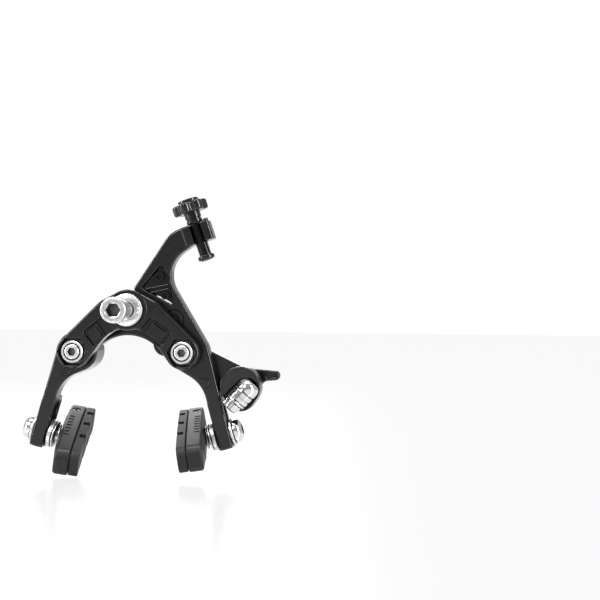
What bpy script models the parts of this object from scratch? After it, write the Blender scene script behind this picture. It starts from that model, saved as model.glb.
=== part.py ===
"""Symmetric dual-pivot rim brake caliper for a road bicycle.

Frame: the origin is on the axis of the mounting bolt, at the rear face of the bridge. -Y points
to the bicycle's frame or fork, +X is to the right when the caliper is seen from there, and +Z is
up. Sizes are in millimetres, and the mesh functions turn them into metres.
"""
import math

import bmesh
import bpy
from mathutils import Matrix, Vector

MM = 0.001

# Fits
GAP = 0.3                     # running gap between pieces that touch
ARC_STEP = math.radians(20)   # longest turn between two points of an arc
SEGMENTS = 16                 # sides of a turned piece

# Bridge: the fixed plate that carries both arm pivots
PIVOT_HALF = 22.0             # half the distance between the arm pivots
PIVOT_DROP = 16.8             # pivots below the mounting bolt
BRIDGE_T = 7.0
BOSS_R = 8.2
SHOULDER_R = 8.6
BRIDGE_LOBE_R = 6.7
BRIDGE_ARCH_R = 13.4
BRIDGE_ARCH_DROP = 20.6
POCKET_DEPTH = 0.8

# Mounting bolt with its washers and the recessed nut
BOLT_R = 3.0
BOLT_SOCKET_AF = 5.0
BOLT_HEAD_R = 5.0
BOLT_HEAD_T = 4.0
FRAME_WASHER_R = 6.45
FRAME_WASHER_T = 2.0
HEAD_WASHER_T = 0.7
RECESSED_NUT_REACH = 26.0     # from the bridge to the outer end of the nut's flange
RECESSED_NUT_L = 17.0
RECESSED_NUT_R = 3.8
RECESSED_NUT_FLANGE_R = 5.0
RECESSED_NUT_FLANGE_T = 2.2

# Arm pivots
PIVOT_BOLT_R = 3.0
PIVOT_SOCKET_AF = 3.0
PIVOT_HEAD_R = 5.4
PIVOT_HEAD_T = 1.8
PIVOT_NUT_AF = 9.2
PIVOT_NUT_T = 4.0
NUT_WELL_AF = 10.6
BUSH_WALL = 1.2
THRUST_WASHER_T = 0.4

# Layers across the caliper, from the rear to the front
REAR_LAYER_T = 7.5            # adjuster arm, and the rear half of the anchor arm
LAYER_GAP = 0.7
FRONT_LAYER_T = 6.5           # the anchor arm where it crosses to the other side
LEG_DEPTH = 12.5              # arm legs, from rear to front

# Arm legs and the brake reach
PAD_HALF = 37.2               # pad bolts from the middle plane, at rest
PAD_DROP = 49.5               # pad bolts below the mounting bolt
LEG_LEAN = math.radians(15.8)
LEG_T = 5.4
SLOT_TRAVEL = 9.5             # how far a pad bolt can move up its slot
FOOT = 6.1                    # from the pad bolt down to the foot of the leg
FILLET_R = 14.0               # inner corner between the leg and the pivot lobe
FILLET_BACK = LEG_T / 2 + FILLET_R - 0.135     # from the leg's middle line to the corner's centre
LEFT_LOBE_R = 8.2
FILLET_SPAN = LEFT_LOBE_R + FILLET_R + 0.19   # from the pivot to the corner's centre
RIGHT_LOBE_R = 7.4
RIGHT_LOBE_LENGTH = 2.1
STOP_PIN_R = 2.1
STOP_PIN_L = 3.8
RIGHT_PIN_RISE = 12.42         # above the top of the pad bolt's slot

# Roller that keeps both arms in step
ROLLER = (PIVOT_HALF - 4.5, 13.1 - PIVOT_DROP)
ROLLER_R = 3.4
ROLLER_PIN_R = 1.5
ARM_TRAVEL = math.radians(12)
ROLLER_WEB = 1.5              # skin of the adjuster arm that covers the roller's slot

# Return spring round the left pivot
SPRING_R = 5.6
SPRING_WIRE = 1.1
SPRING_TURNS = 2.25
SPRING_PITCH = 1.5
SPRING_LEG = 1.9

# Cable adjuster in the eye of the adjuster arm
EYE = (26.4, 30.9)
BARREL_LEAN = math.radians(18.9)
BARREL_R = 2.6
BARREL_TOP = 14.2             # along the barrel, from the middle of the eye
BARREL_BOTTOM = -11.3
EYE_HEIGHT = 8.0
EYE_SLOT = 4.6                # width of the cable slot
KNOB_R = 7.1
KNOB_LOBES = 6
KNOB_T = 4.2
KNOB_LIFT = 4.7               # from the eye up to the knob
HOUSING_R = 2.6               # bore that seats the end of the cable housing
HOUSING_DEPTH = 4.0
CABLE_R = 1.1

# Quick release and cable clamp on the anchor arm
ANCHOR = (PIVOT_HALF + 22.1, 19.2 - PAD_DROP)
ANCHOR_EYE_R = 7.0
CAM_R = 8.2
CAM_T = 8.4
CAM_WINDOW_DEPTH = 4.2
CAM_SEAT_DEPTH = 1.2          # the cam's front sits in a recess of the arm
TRUNNION_R = 1.9
CLAMP_OFFSET = (0.8, -3.3)    # from the axis of the quick release
CLAMP_LEAN = math.radians(47)
CLAMP_R = 4.4
CLAMP_NUT_R = 3.5
AXLE_R = 2.5
ANCHOR_BUSH_WALL = 0.6
RELEASE_WASHER_T = 0.6
LEVER_T = 3.4
LEVER_REACH = 12.3

# Pads
PAD_L = 51.0
PAD_H = 11.0
PAD_PITCH = math.radians(16.5)
LEFT_PAD_TOE = math.radians(10)
RIGHT_PAD_TOE = math.radians(3.5)
LEFT_PAD_UPRIGHT = math.radians(4)     # how far a pad is turned back from its leg's lean
RIGHT_PAD_UPRIGHT = math.radians(9)
RIGHT_PAD_LIFT = 1.2          # the right pad sits above its bolt's middle
RIM_R = 311.0                 # the pads follow the rim's curve
HOLDER_T = 6.0
RUBBER_T = 3.7
RUBBER_SEAT = 1.6             # how far the rubber sits inside its holder
PAD_BOLT_R = 3.0
PAD_HEAD_R = 4.75
PAD_SOCKET_AF = 4.0
PAD_BOLT_GRIP = 1.2           # how far the bolt reaches into the holder
SCREW_R = 1.5
PAD_WASHER_R = 5.8
PAD_WASHER_T = 1.1            # under the bolt's head
SPACER_T = 1.8                # between the leg and the cup washer
CUP_T = 0.6
BALL_GAP = 1.0                # lets the ball washer tilt on the cup washer
BULGE_T = 0.7                 # the holder's back, raised round its bolt

# Places that follow from the sizes above
LAYER_1 = BRIDGE_T + 2 * GAP + THRUST_WASHER_T
LAYER_1_END = LAYER_1 + REAR_LAYER_T
LAYER_2 = LAYER_1_END + LAYER_GAP
LAYER_2_END = LAYER_2 + FRONT_LAYER_T
LEG_MID = LAYER_1 + LEG_DEPTH / 2
LEFT_PIVOT = (-PIVOT_HALF, -PIVOT_DROP)
RIGHT_PIVOT = (PIVOT_HALF, -PIVOT_DROP)
BARREL_Y = LAYER_1 + REAR_LAYER_T / 2
BUSH_R = PIVOT_BOLT_R + GAP + BUSH_WALL
CAM_Y = LAYER_2 + CAM_SEAT_DEPTH - GAP - CAM_T
CLAMP_Y = CAM_Y + CAM_WINDOW_DEPTH - GAP - CLAMP_R - 0.5

STEEL = ("steel", (0.75, 0.76, 0.78), 0.28, 1.0)
CHROME = ("chrome", (0.86, 0.87, 0.89), 0.08, 1.0)
BLACK = ("gloss_black", (0.012, 0.012, 0.013), 0.22, 0.0)
CAM_BLACK = ("cam_black", (0.035, 0.03, 0.036), 0.35, 0.2)
BRASS = ("brass", (0.78, 0.6, 0.28), 0.3, 1.0)
RUBBER = ("pad_rubber", (0.035, 0.035, 0.036), 0.75, 0.0)
PLASTIC = ("holder_plastic", (0.05, 0.05, 0.052), 0.5, 0.0)
SPRING_STEEL = ("spring_steel", (0.45, 0.46, 0.48), 0.3, 1.0)


# ---------------------------------------------------------------- outlines

def belt(pulleys):
    """Outline of a belt round circles (u, v, radius), counter-clockwise.

    A negative radius is a circle on the outer side, so the outline bends inwards round it.
    """
    normals = []
    for index, (u1, v1, r1) in enumerate(pulleys):
        u2, v2, r2 = pulleys[(index + 1) % len(pulleys)]
        distance = math.hypot(u2 - u1, v2 - v1)
        heading = math.atan2(v2 - v1, u2 - u1)
        normals.append(heading + math.acos((r2 - r1) / distance))
    points = []
    for index, (u, v, radius) in enumerate(pulleys):
        start = normals[index - 1]
        end = normals[index]
        turn = (end - start) % math.tau if radius >= 0 else -((start - end) % math.tau)
        steps = max(1, math.ceil(abs(turn) / ARC_STEP))
        for step in range(steps + 1):
            angle = start + turn * step / steps
            points.append((u - radius * math.cos(angle), v - radius * math.sin(angle)))
    return points


def circle(radius, u=0.0, v=0.0, sides=SEGMENTS):
    """Outline of a circle."""
    angles = [math.tau * step / sides for step in range(sides)]
    return [(u + radius * math.cos(a), v + radius * math.sin(a)) for a in angles]


def hexagon(across_flats, u=0.0, v=0.0):
    """Outline of a hexagon with a flat at its bottom."""
    return circle(across_flats / math.sqrt(3), u, v, 6)


def rectangle(u0, v0, u1, v1):
    """Outline of an upright rectangle."""
    return [(u0, v0), (u1, v0), (u1, v1), (u0, v1)]


# ---------------------------------------------------------------- solids

def finish_material(obj, finish):
    """Give the object its own material with the finish's colour, roughness and metal."""
    _, color, roughness, metallic = finish
    material = bpy.data.materials.new(obj.name)
    material.use_nodes = True
    shader = material.node_tree.nodes["Principled BSDF"]
    shader.inputs["Base Color"].default_value = (*color, 1.0)
    shader.inputs["Roughness"].default_value = roughness
    shader.inputs["Metallic"].default_value = metallic
    obj.data.materials.append(material)


def along(axis, u, v, depth):
    """A point of an outline (u, v) at a depth along the axis, in metres."""
    order = {"X": (depth, u, v), "Y": (u, depth, v), "Z": (u, v, depth)}[axis]
    return Vector(order) * MM


def from_mesh(name, vertices, faces, finish):
    """A smooth-shaded object with outward faces, from its vertices and faces."""
    mesh = bpy.data.meshes.new(name)
    mesh.from_pydata(vertices, [], faces)
    shell = bmesh.new()
    shell.from_mesh(mesh)
    bmesh.ops.remove_doubles(shell, verts=shell.verts, dist=0.001 * MM)
    bmesh.ops.recalc_face_normals(shell, faces=shell.faces)
    shell.to_mesh(mesh)
    shell.free()
    mesh.shade_smooth()
    mesh.set_sharp_from_angle(angle=math.radians(35))
    obj = bpy.data.objects.new(name, mesh)
    bpy.context.scene.collection.objects.link(obj)
    if finish:
        finish_material(obj, finish)
    return obj


def prism(name, outline, start, end, finish=None, axis="Y"):
    """An outline extruded from one depth to another."""
    count = len(outline)
    vertices = [along(axis, u, v, start) for u, v in outline]
    vertices += [along(axis, u, v, end) for u, v in outline]
    faces = [list(range(count)), list(range(2 * count - 1, count - 1, -1))]
    for i in range(count):
        j = (i + 1) % count
        faces.append([i, count + i, count + j, j])
    return from_mesh(name, vertices, faces, finish)


def tapered(name, first, last, start, end):
    """A body along X from one belt's outline to another with the same number of pulleys."""
    outlines = [(belt(first), start), (belt(last), end)]
    if start > end:
        outlines.reverse()
    (near, low), (far, high) = outlines
    count = len(near)
    vertices = [along("X", u, v, low) for u, v in near] + [along("X", u, v, high) for u, v in far]
    faces = [list(range(count)), list(range(2 * count - 1, count - 1, -1))]
    faces += [[i, count + i, count + (i + 1) % count, (i + 1) % count] for i in range(count)]
    return from_mesh(name, vertices, faces, None)


def turned(name, profile, finish=None, axis="Y"):
    """A closed profile of (radius, depth) points turned about the axis."""
    vertices = []
    rings = []
    for radius, depth in profile:
        rings.append(range(len(vertices), len(vertices) + (SEGMENTS if radius > 0 else 1)))
        for step in range(len(rings[-1])):
            angle = math.tau * step / SEGMENTS
            vertices.append(along(axis, radius * math.cos(angle), radius * math.sin(angle), depth))
    faces = []
    for ring, after in zip(rings, rings[1:] + rings[:1]):
        if len(ring) == 1 and len(after) == 1:
            continue
        for step in range(SEGMENTS):
            n = (step + 1) % SEGMENTS
            corners = [ring[step % len(ring)], ring[n % len(ring)]]
            corners += [after[n % len(after)], after[step % len(after)]]
            faces.append(list(dict.fromkeys(corners)))
    return from_mesh(name, vertices, faces, finish)


def ring_profile(inner, outer, start, end, edge=0.0):
    """Profile of a washer or bush, with its outer edges broken."""
    return [(inner, start), (outer - edge, start), (outer, start + edge), (outer, end - edge),
            (outer - edge, end), (inner, end)]


def chamfer(obj, width):
    """Break the sharp edges of a plate."""
    bevel = obj.modifiers.new("chamfer", "BEVEL")
    bevel.width = width * MM
    bevel.segments = 1
    bevel.limit_method = "ANGLE"
    bevel.angle_limit = math.radians(50)


def combine(obj, tool, operation):
    """Cut the tool from the object, or join it to the object."""
    tool.hide_render = True
    tool.display_type = "WIRE"
    boolean = obj.modifiers.new(operation.lower(), "BOOLEAN")
    boolean.operation = operation
    boolean.solver = "EXACT"
    boolean.object = tool
    tool.parent = obj.parent
    tool.matrix_parent_inverse = obj.matrix_parent_inverse
    return obj


def cut(obj, *tools):
    """Cut each tool from the object."""
    for tool in tools:
        combine(obj, tool, "DIFFERENCE")
    return obj


def join(obj, *tools):
    """Join each tool to the object as one body."""
    for tool in tools:
        combine(obj, tool, "UNION")
    return obj


def empty(name, place, turn=(0.0, 0.0, 0.0), parent=None):
    """An empty that marks a joint's axis or a tilted frame."""
    marker = bpy.data.objects.new(name, None)
    marker.location = Vector(place) * MM
    marker.rotation_euler = turn
    marker.parent = parent
    marker.empty_display_size = 5 * MM
    bpy.context.scene.collection.objects.link(marker)
    return marker


def carried(obj, marker):
    """Hang a piece, modelled in the caliper's frame, on a marker without moving it."""
    bpy.context.view_layer.update()
    family = [obj] + [m.object for m in obj.modifiers if m.type == "BOOLEAN"]
    for item in family:
        item.parent = marker
        item.matrix_parent_inverse = marker.matrix_world.inverted()
    return obj


def local(obj, marker):
    """Hang a piece, modelled in the marker's own frame, on the marker."""
    for item in [obj] + [m.object for m in obj.modifiers if m.type == "BOOLEAN"]:
        item.parent = marker
        item.matrix_parent_inverse = Matrix.Identity(4)
    return obj


def at(pivot):
    """The place of an axis through the caliper, at the rear face of the bridge."""
    return (pivot[0], 0.0, pivot[1])


def moved(obj, pivot):
    """Move a piece turned about the Y axis to a pivot."""
    obj.location = Vector(at(pivot)) * MM
    return obj


# ---------------------------------------------------------------- fixed pieces

def bridge_pulleys():
    """The bridge: a boss at the bolt, shoulders, a lobe at each pivot and the arch below."""
    shoulder = (0.273 * PIVOT_HALF, -0.214 * PIVOT_DROP)
    return [
        (0.0, 0.0, BOSS_R),
        (-shoulder[0], shoulder[1], SHOULDER_R),
        (*LEFT_PIVOT, BRIDGE_LOBE_R),
        (0.0, -BRIDGE_ARCH_DROP, -BRIDGE_ARCH_R),
        (*RIGHT_PIVOT, BRIDGE_LOBE_R),
        (shoulder[0], shoulder[1], SHOULDER_R),
    ]


def bridge_pocket(side):
    """Shallow recess between the boss and a pivot, with rounded corners."""
    corner = 1.2
    half = 2.9
    length = math.hypot(PIVOT_HALF, PIVOT_DROP)
    run = (side * PIVOT_HALF / length, -PIVOT_DROP / length)
    rise = (-side * run[1], side * run[0])
    first = BOSS_R + 1.6
    last = length - NUT_WELL_AF / 2 - 3.6
    corners = [(first, half), (first, -half), (last, -half), (last, half)]
    pulleys = [(run[0] * s + rise[0] * t, run[1] * s + rise[1] * t, corner) for s, t in corners]
    if side < 0:
        pulleys.reverse()
    name = f"pocket_cutter_{'right' if side > 0 else 'left'}"
    return prism(name, belt(pulleys), -1.0, POCKET_DEPTH)


def bridge_plate():
    """The fixed plate with its bores, nut wells, pockets and the hole for the spring."""
    plate = prism("bridge_plate", belt(bridge_pulleys()), 0.0, BRIDGE_T, BLACK)
    chamfer(plate, 0.6)
    bore = circle(BOLT_R + GAP)
    cut(plate, prism("bolt_bore_cutter", bore, -1.0, BRIDGE_T + 1.0))
    well = PIVOT_NUT_T + GAP
    for side, pivot in (("left", LEFT_PIVOT), ("right", RIGHT_PIVOT)):
        pivot_hole = circle(PIVOT_BOLT_R + GAP, *pivot)
        cut(plate, prism(f"{side}_bore_cutter", pivot_hole, -1.0, BRIDGE_T + 1.0))
        cut(plate, prism(f"{side}_well_cutter", hexagon(NUT_WELL_AF, *pivot), -1.0, well))
    cut(plate, bridge_pocket(-1), bridge_pocket(1))
    hole = circle(SPRING_WIRE / 2 + GAP, LEFT_PIVOT[0] + SPRING_R, LEFT_PIVOT[1], 12)
    cut(plate, prism("spring_hole_cutter", hole, BRIDGE_T - SPRING_LEG, BRIDGE_T + 1.0))
    return plate


def mounting_hardware():
    """The bolt through the frame, its two washers and the recessed nut."""
    nut_end = -RECESSED_NUT_REACH
    bolt_end = nut_end + RECESSED_NUT_FLANGE_T + 2.5
    head = BRIDGE_T + HEAD_WASHER_T + 2 * GAP
    bolt = turned("mounting_bolt", [
        (0.0, bolt_end), (BOLT_R - 0.5, bolt_end), (BOLT_R, bolt_end + 0.5), (BOLT_R, head),
        (BOLT_HEAD_R, head), (BOLT_HEAD_R, head + BOLT_HEAD_T - 0.6),
        (BOLT_HEAD_R - 0.6, head + BOLT_HEAD_T), (0.0, head + BOLT_HEAD_T)], STEEL)
    socket = hexagon(BOLT_SOCKET_AF)
    cut(bolt, prism("bolt_socket_cutter", socket, head + 1.5, head + BOLT_HEAD_T + 1.0))
    turned("bolt_head_washer",
           ring_profile(BOLT_R + GAP, BOLT_HEAD_R, BRIDGE_T + GAP, BRIDGE_T + GAP + HEAD_WASHER_T), STEEL)
    turned("knurled_washer",
           ring_profile(BOLT_R + GAP, FRAME_WASHER_R, -GAP - FRAME_WASHER_T, -GAP, 0.3), STEEL)
    bore = BOLT_R + GAP
    throat = BOLT_SOCKET_AF / 2 - 0.2
    nut = turned("recessed_nut", [
        (throat, nut_end), (RECESSED_NUT_FLANGE_R - 0.8, nut_end),
        (RECESSED_NUT_FLANGE_R, nut_end + 0.8), (RECESSED_NUT_FLANGE_R, nut_end + RECESSED_NUT_FLANGE_T),
        (RECESSED_NUT_R, nut_end + RECESSED_NUT_FLANGE_T), (RECESSED_NUT_R, nut_end + RECESSED_NUT_L),
        (bore, nut_end + RECESSED_NUT_L), (bore, bolt_end - GAP), (throat, bolt_end - GAP)], STEEL)
    cut(nut, prism("nut_socket_cutter", hexagon(BOLT_SOCKET_AF), nut_end - 1.0, bolt_end - 2 * GAP))


def pivot_hardware(side, pivot, arm_end, arm):
    """Bolt, nut, thrust washer and bush of one arm pivot."""
    head_end = arm_end - GAP
    head = head_end - PIVOT_HEAD_T
    nut_start = -0.2
    bolt = turned(f"{side}_pivot_bolt", [
        (0.0, nut_start - 0.5), (PIVOT_BOLT_R - 0.4, nut_start - 0.5), (PIVOT_BOLT_R, nut_start - 0.1),
        (PIVOT_BOLT_R, head), (PIVOT_HEAD_R, head), (PIVOT_HEAD_R, head_end - 0.4),
        (PIVOT_HEAD_R - 0.4, head_end), (0.0, head_end)], STEEL)
    for end, start, stop in (("rear", -2.0, nut_start + 2.0), ("front", head + 0.6, head_end + 1.0)):
        cut(bolt, prism(f"{side}_{end}_socket_cutter", hexagon(PIVOT_SOCKET_AF), start, stop))
    nut = prism(f"{side}_pivot_nut", hexagon(PIVOT_NUT_AF), nut_start, nut_start + PIVOT_NUT_T, STEEL)
    chamfer(nut, 0.3)
    cut(nut, prism(f"{side}_nut_bore_cutter", circle(PIVOT_BOLT_R + GAP), -2.0, PIVOT_NUT_T + 2.0))
    washer_start = BRIDGE_T + GAP
    washer = turned(f"{side}_thrust_washer", ring_profile(
        PIVOT_BOLT_R + GAP, BUSH_R, washer_start, washer_start + THRUST_WASHER_T), BRASS)
    bush = turned(f"{side}_pivot_bush", ring_profile(
        PIVOT_BOLT_R + GAP, BUSH_R, LAYER_1, head - GAP), BRASS)
    for piece in (bolt, nut, washer):
        fixed_cutters = [m.object for m in piece.modifiers if m.type == "BOOLEAN"]
        for item in [piece] + fixed_cutters:
            moved(item, pivot)
    carried(moved(bush, pivot), arm)


def pivot_bore(side, pivot, arm_end):
    """Cutters for an arm's pivot bore and the seat of the bolt's head."""
    head = arm_end - GAP - PIVOT_HEAD_T
    bore = prism(f"{side}_arm_bore_cutter", circle(BUSH_R + GAP, *pivot), LAYER_1 - 1.0, arm_end + 1.0)
    seat = prism(f"{side}_head_seat_cutter", circle(PIVOT_HEAD_R + GAP, *pivot), head - GAP, arm_end + 1.0)
    return bore, seat


# ---------------------------------------------------------------- arms

def fillet_middle(side, pivot):
    """Middle of the inner corner, which meets the leg's inner face and clears the pivot's lobe."""
    up = Vector((-math.sin(LEG_LEAN), math.cos(LEG_LEAN)))
    start = Vector((PAD_HALF, -PAD_DROP)) + Vector((-up[1], up[0])) * FILLET_BACK
    offset = start - Vector((abs(pivot[0]), pivot[1]))
    along_leg = offset.dot(up)
    rise = -along_leg - math.sqrt(along_leg ** 2 - offset.length_squared + FILLET_SPAN ** 2)
    middle = start + up * rise
    return side * middle[0], middle[1]


def leg_pulleys(side, pivot, lobe):
    """Outline of the leg from a pivot's lobe to its foot, counter-clockwise."""
    lean = (side * math.sin(LEG_LEAN), -math.cos(LEG_LEAN))
    out = (side * math.cos(LEG_LEAN), math.sin(LEG_LEAN))
    corner = 1.8
    half = LEG_T / 2 - corner
    foot = FOOT - corner
    pad = (side * PAD_HALF, -PAD_DROP)
    outer = (pad[0] + lean[0] * foot + out[0] * half, pad[1] + lean[1] * foot + out[1] * half, corner)
    inner = (pad[0] + lean[0] * foot - out[0] * half, pad[1] + lean[1] * foot - out[1] * half, corner)
    fillet = (*fillet_middle(side, pivot), -FILLET_R)
    if side < 0:
        return lobe + [outer, inner, fillet]
    return lobe[:1] + [fillet, inner, outer] + lobe[1:]


def leg_block(side):
    """The deep lower part of a leg, and the cutter for the pad bolt's slot."""
    top = SLOT_TRAVEL + PAD_BOLT_R + GAP
    half = LEG_DEPTH / 2
    corner = 1.5
    outline = belt([(corner - half, top, corner), (corner - half, corner - FOOT, corner),
                    (half - corner, corner - FOOT, corner), (half - 2 * corner, top, 2 * corner)])
    name = "left" if side < 0 else "right"
    block = prism(f"{name}_leg_block", outline, -LEG_T / 2, LEG_T / 2, axis="X")
    slot_r = PAD_BOLT_R + GAP
    slot = prism(f"{name}_slot_cutter", belt([(0.0, SLOT_TRAVEL, slot_r), (0.0, 0.0, slot_r)]),
                 -LEG_T, LEG_T, axis="X")
    place = Matrix.Translation(Vector((side * PAD_HALF, LEG_MID, -PAD_DROP)) * MM)
    place = place @ Matrix.Rotation(-side * LEG_LEAN, 4, "Y")
    for item in (block, slot):
        item.data.transform(place)
    return block, slot


def anchor_arm(marker):
    """The arm on the left pivot: a leg to the left pad, and a bar to the cable anchor."""
    lobe = [(*LEFT_PIVOT, LEFT_LOBE_R)]
    arm = prism("anchor_arm", belt(leg_pulleys(-1, LEFT_PIVOT, lobe)), LAYER_1, LAYER_2_END, BLACK)
    bar = prism("crossing_bar", belt([
        (*LEFT_PIVOT, 4.4),
        (-3.0, -PIVOT_DROP - 10.6, -17.0),
        (21.0, -PIVOT_DROP - 4.2, 3.0),
        (ANCHOR[0] - 11.1, ANCHOR[1] - 7.4, -6.0),
        (*ANCHOR, ANCHOR_EYE_R),
        (2.0, 7.8 - PIVOT_DROP, 6.0)]), LAYER_2, LAYER_2_END - 0.05)
    lug = prism("roller_lug", belt([
        (*ROLLER, ROLLER_PIN_R + 2.4), (ROLLER[0] - 5.0, ROLLER[1] - 10.0, 5.0),
        (ROLLER[0] + 3.0, ROLLER[1] - 10.5, 4.0)]), LAYER_2 + 0.05, LAYER_2_END - 0.6)
    block, slot = leg_block(-1)
    below = rectangle(-PAD_HALF - 15, -PAD_DROP - 15, -PAD_HALF + 20, -PIVOT_DROP - 9.5)
    cut(arm, prism("left_leg_trim_cutter", below, LAYER_1_END, LAYER_2_END + 1.0))
    chamfer(arm, 0.6)
    join(arm, bar, lug, block)
    cut(arm, slot, *pivot_bore("left", LEFT_PIVOT, LAYER_2_END))
    coil_end = LAYER_1 + SPRING_TURNS * SPRING_PITCH + SPRING_WIRE + GAP
    coil = circle(SPRING_R + SPRING_WIRE / 2 + GAP, *LEFT_PIVOT)
    wire = circle(SPRING_WIRE / 2 + GAP, LEFT_PIVOT[0], LEFT_PIVOT[1] + SPRING_R, 12)
    pin = circle(ROLLER_PIN_R + GAP / 2, *ROLLER, 12)
    bush = circle(AXLE_R + 2 * GAP + ANCHOR_BUSH_WALL, *ANCHOR)
    stop = circle(STOP_PIN_R + GAP / 2, *left_pin(), 12)
    cut(arm,
        prism("spring_pocket_cutter", coil, LAYER_1 - 1.0, coil_end),
        prism("spring_arm_hole_cutter", wire, LAYER_1, coil_end + SPRING_LEG),
        prism("roller_pin_cutter", pin, LAYER_1, LAYER_2_END + 1.0),
        prism("cam_seat_cutter", circle(CAM_R + 2 * GAP, *ANCHOR), LAYER_2 - 1.0, LAYER_2 + CAM_SEAT_DEPTH),
        prism("anchor_bore_cutter", bush, LAYER_2, LAYER_2_END + 1.0),
        prism("left_pin_cutter", stop, LAYER_1 - 1.0, LAYER_1 + STOP_PIN_L + 0.2))
    carried(arm, marker)


def left_pin():
    """Place of the stop pin below the left pivot."""
    return (LEFT_PIVOT[0] - 4.1, LEFT_PIVOT[1] - 7.8)


def right_pin():
    """Place of the stop pin in the right leg, above the end of the pad bolt's slot."""
    up, across = SLOT_TRAVEL + RIGHT_PIN_RISE, 1.07
    return (PAD_HALF - up * math.sin(LEG_LEAN) - across * math.cos(LEG_LEAN),
            up * math.cos(LEG_LEAN) - across * math.sin(LEG_LEAN) - PAD_DROP)


def roller_path():
    """Where the roller's middle runs in the adjuster arm, as both arms close in step."""
    path = []
    steps = 6
    left = Vector(LEFT_PIVOT)
    right = Vector(RIGHT_PIVOT)
    for step in range(steps + 1):
        turn = Matrix.Rotation(ARM_TRAVEL * step / steps, 2)
        world = left + turn @ (Vector(ROLLER) - left)
        path.append(right + turn @ (world - right))
    return path


def slot_outline(path, half_width):
    """Outline of a slot of one width round a curved path."""
    left = []
    right = []
    for index, point in enumerate(path):
        before = path[max(index - 1, 0)]
        after = path[min(index + 1, len(path) - 1)]
        run = (after - before).normalized()
        side = Vector((-run[1], run[0])) * half_width
        left.append(tuple(point + side))
        right.append(tuple(point - side))
    caps = []
    for tip, inner in ((path[-1], path[-2]), (path[0], path[1])):
        start = math.atan2(*(tip - inner).yx) - math.pi / 2
        turns = [start + math.pi * step / 8 for step in range(1, 8)]
        caps.append([(tip[0] + half_width * math.cos(a), tip[1] + half_width * math.sin(a)) for a in turns])
    return right + caps[0] + left[::-1] + caps[1]


def adjuster_arm(marker):
    """The arm on the right pivot: a leg to the right pad, and a neck up to the adjuster's eye."""
    lobe = [(*RIGHT_PIVOT, RIGHT_LOBE_R), (RIGHT_PIVOT[0] + RIGHT_LOBE_LENGTH, RIGHT_PIVOT[1], RIGHT_LOBE_R)]
    clear = BOLT_HEAD_R + 1.6
    outline = leg_pulleys(1, RIGHT_PIVOT, lobe) + [
        (EYE[0] + 1.0, EYE[1] - 16.8, -11.3),
        (EYE[0] + 1.2, EYE[1] - 0.3, 2.0),
        (EYE[0] - 3.7, EYE[1] - 8.5, 10.8),
        (2.0, clear + 2.0, 1.0),
        (0.0, 0.0, -clear)]
    arm = prism("adjuster_arm", belt(outline), LAYER_1, LAYER_1_END, BLACK)
    chamfer(arm, 0.6)
    block, slot = leg_block(1)
    eye = eye_block()
    join(arm, block, eye[0])
    cut(arm, slot, *eye[1:], *pivot_bore("right", RIGHT_PIVOT, LAYER_1_END))
    path = slot_outline(roller_path(), ROLLER_R + GAP)
    cut(arm, prism("roller_slot_cutter", path, LAYER_1 + ROLLER_WEB, LAYER_1_END + 1.0))
    recess = belt([(5.6, 8.6, 1.0), (17.0, 1.5, 1.0), (14.6, 14.5, 2.0)])
    cut(arm, prism("arm_recess_cutter", recess, LAYER_1 - 1.0, LAYER_1 + POCKET_DEPTH))
    stop = circle(STOP_PIN_R + GAP / 2, *right_pin(), 12)
    cut(arm, prism("right_pin_cutter", stop, LAYER_1 - 1.0, LAYER_1 + STOP_PIN_L + 0.2))
    carried(arm, marker)


def eye_frame_matrix():
    """Frame of the adjuster: Z runs up the barrel, and X to the right across it."""
    place = Matrix.Translation(Vector((EYE[0], BARREL_Y, EYE[1])) * MM)
    return place @ Matrix.Rotation(-BARREL_LEAN, 4, "Y")


def eye_block():
    """The eye that holds the barrel, and the cutters for its bore and its cable slot."""
    half = EYE_HEIGHT / 2
    bore_r = BARREL_R + GAP
    right = bore_r + 2.9
    corner = 1.4
    back = -REAR_LAYER_T / 2 - 0.3 + corner
    front = bore_r + 1.8 - corner
    outline = belt([(-5.0, back, corner), (right - corner, back, corner),
                    (right - corner, front, corner), (-5.0, front, corner)])
    block = prism("eye_block", outline, -half, half, axis="Z")
    bore = prism("eye_bore_cutter", circle(bore_r), -half - 6.0, half + 6.0, axis="Z")
    slot = prism("eye_slot_cutter", rectangle(-EYE_SLOT / 2, -12.0, EYE_SLOT / 2, 0.0),
                 -half - 6.0, half + 6.0, axis="Z")
    for item in (block, bore, slot):
        item.data.transform(eye_frame_matrix())
    return block, bore, slot


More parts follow.
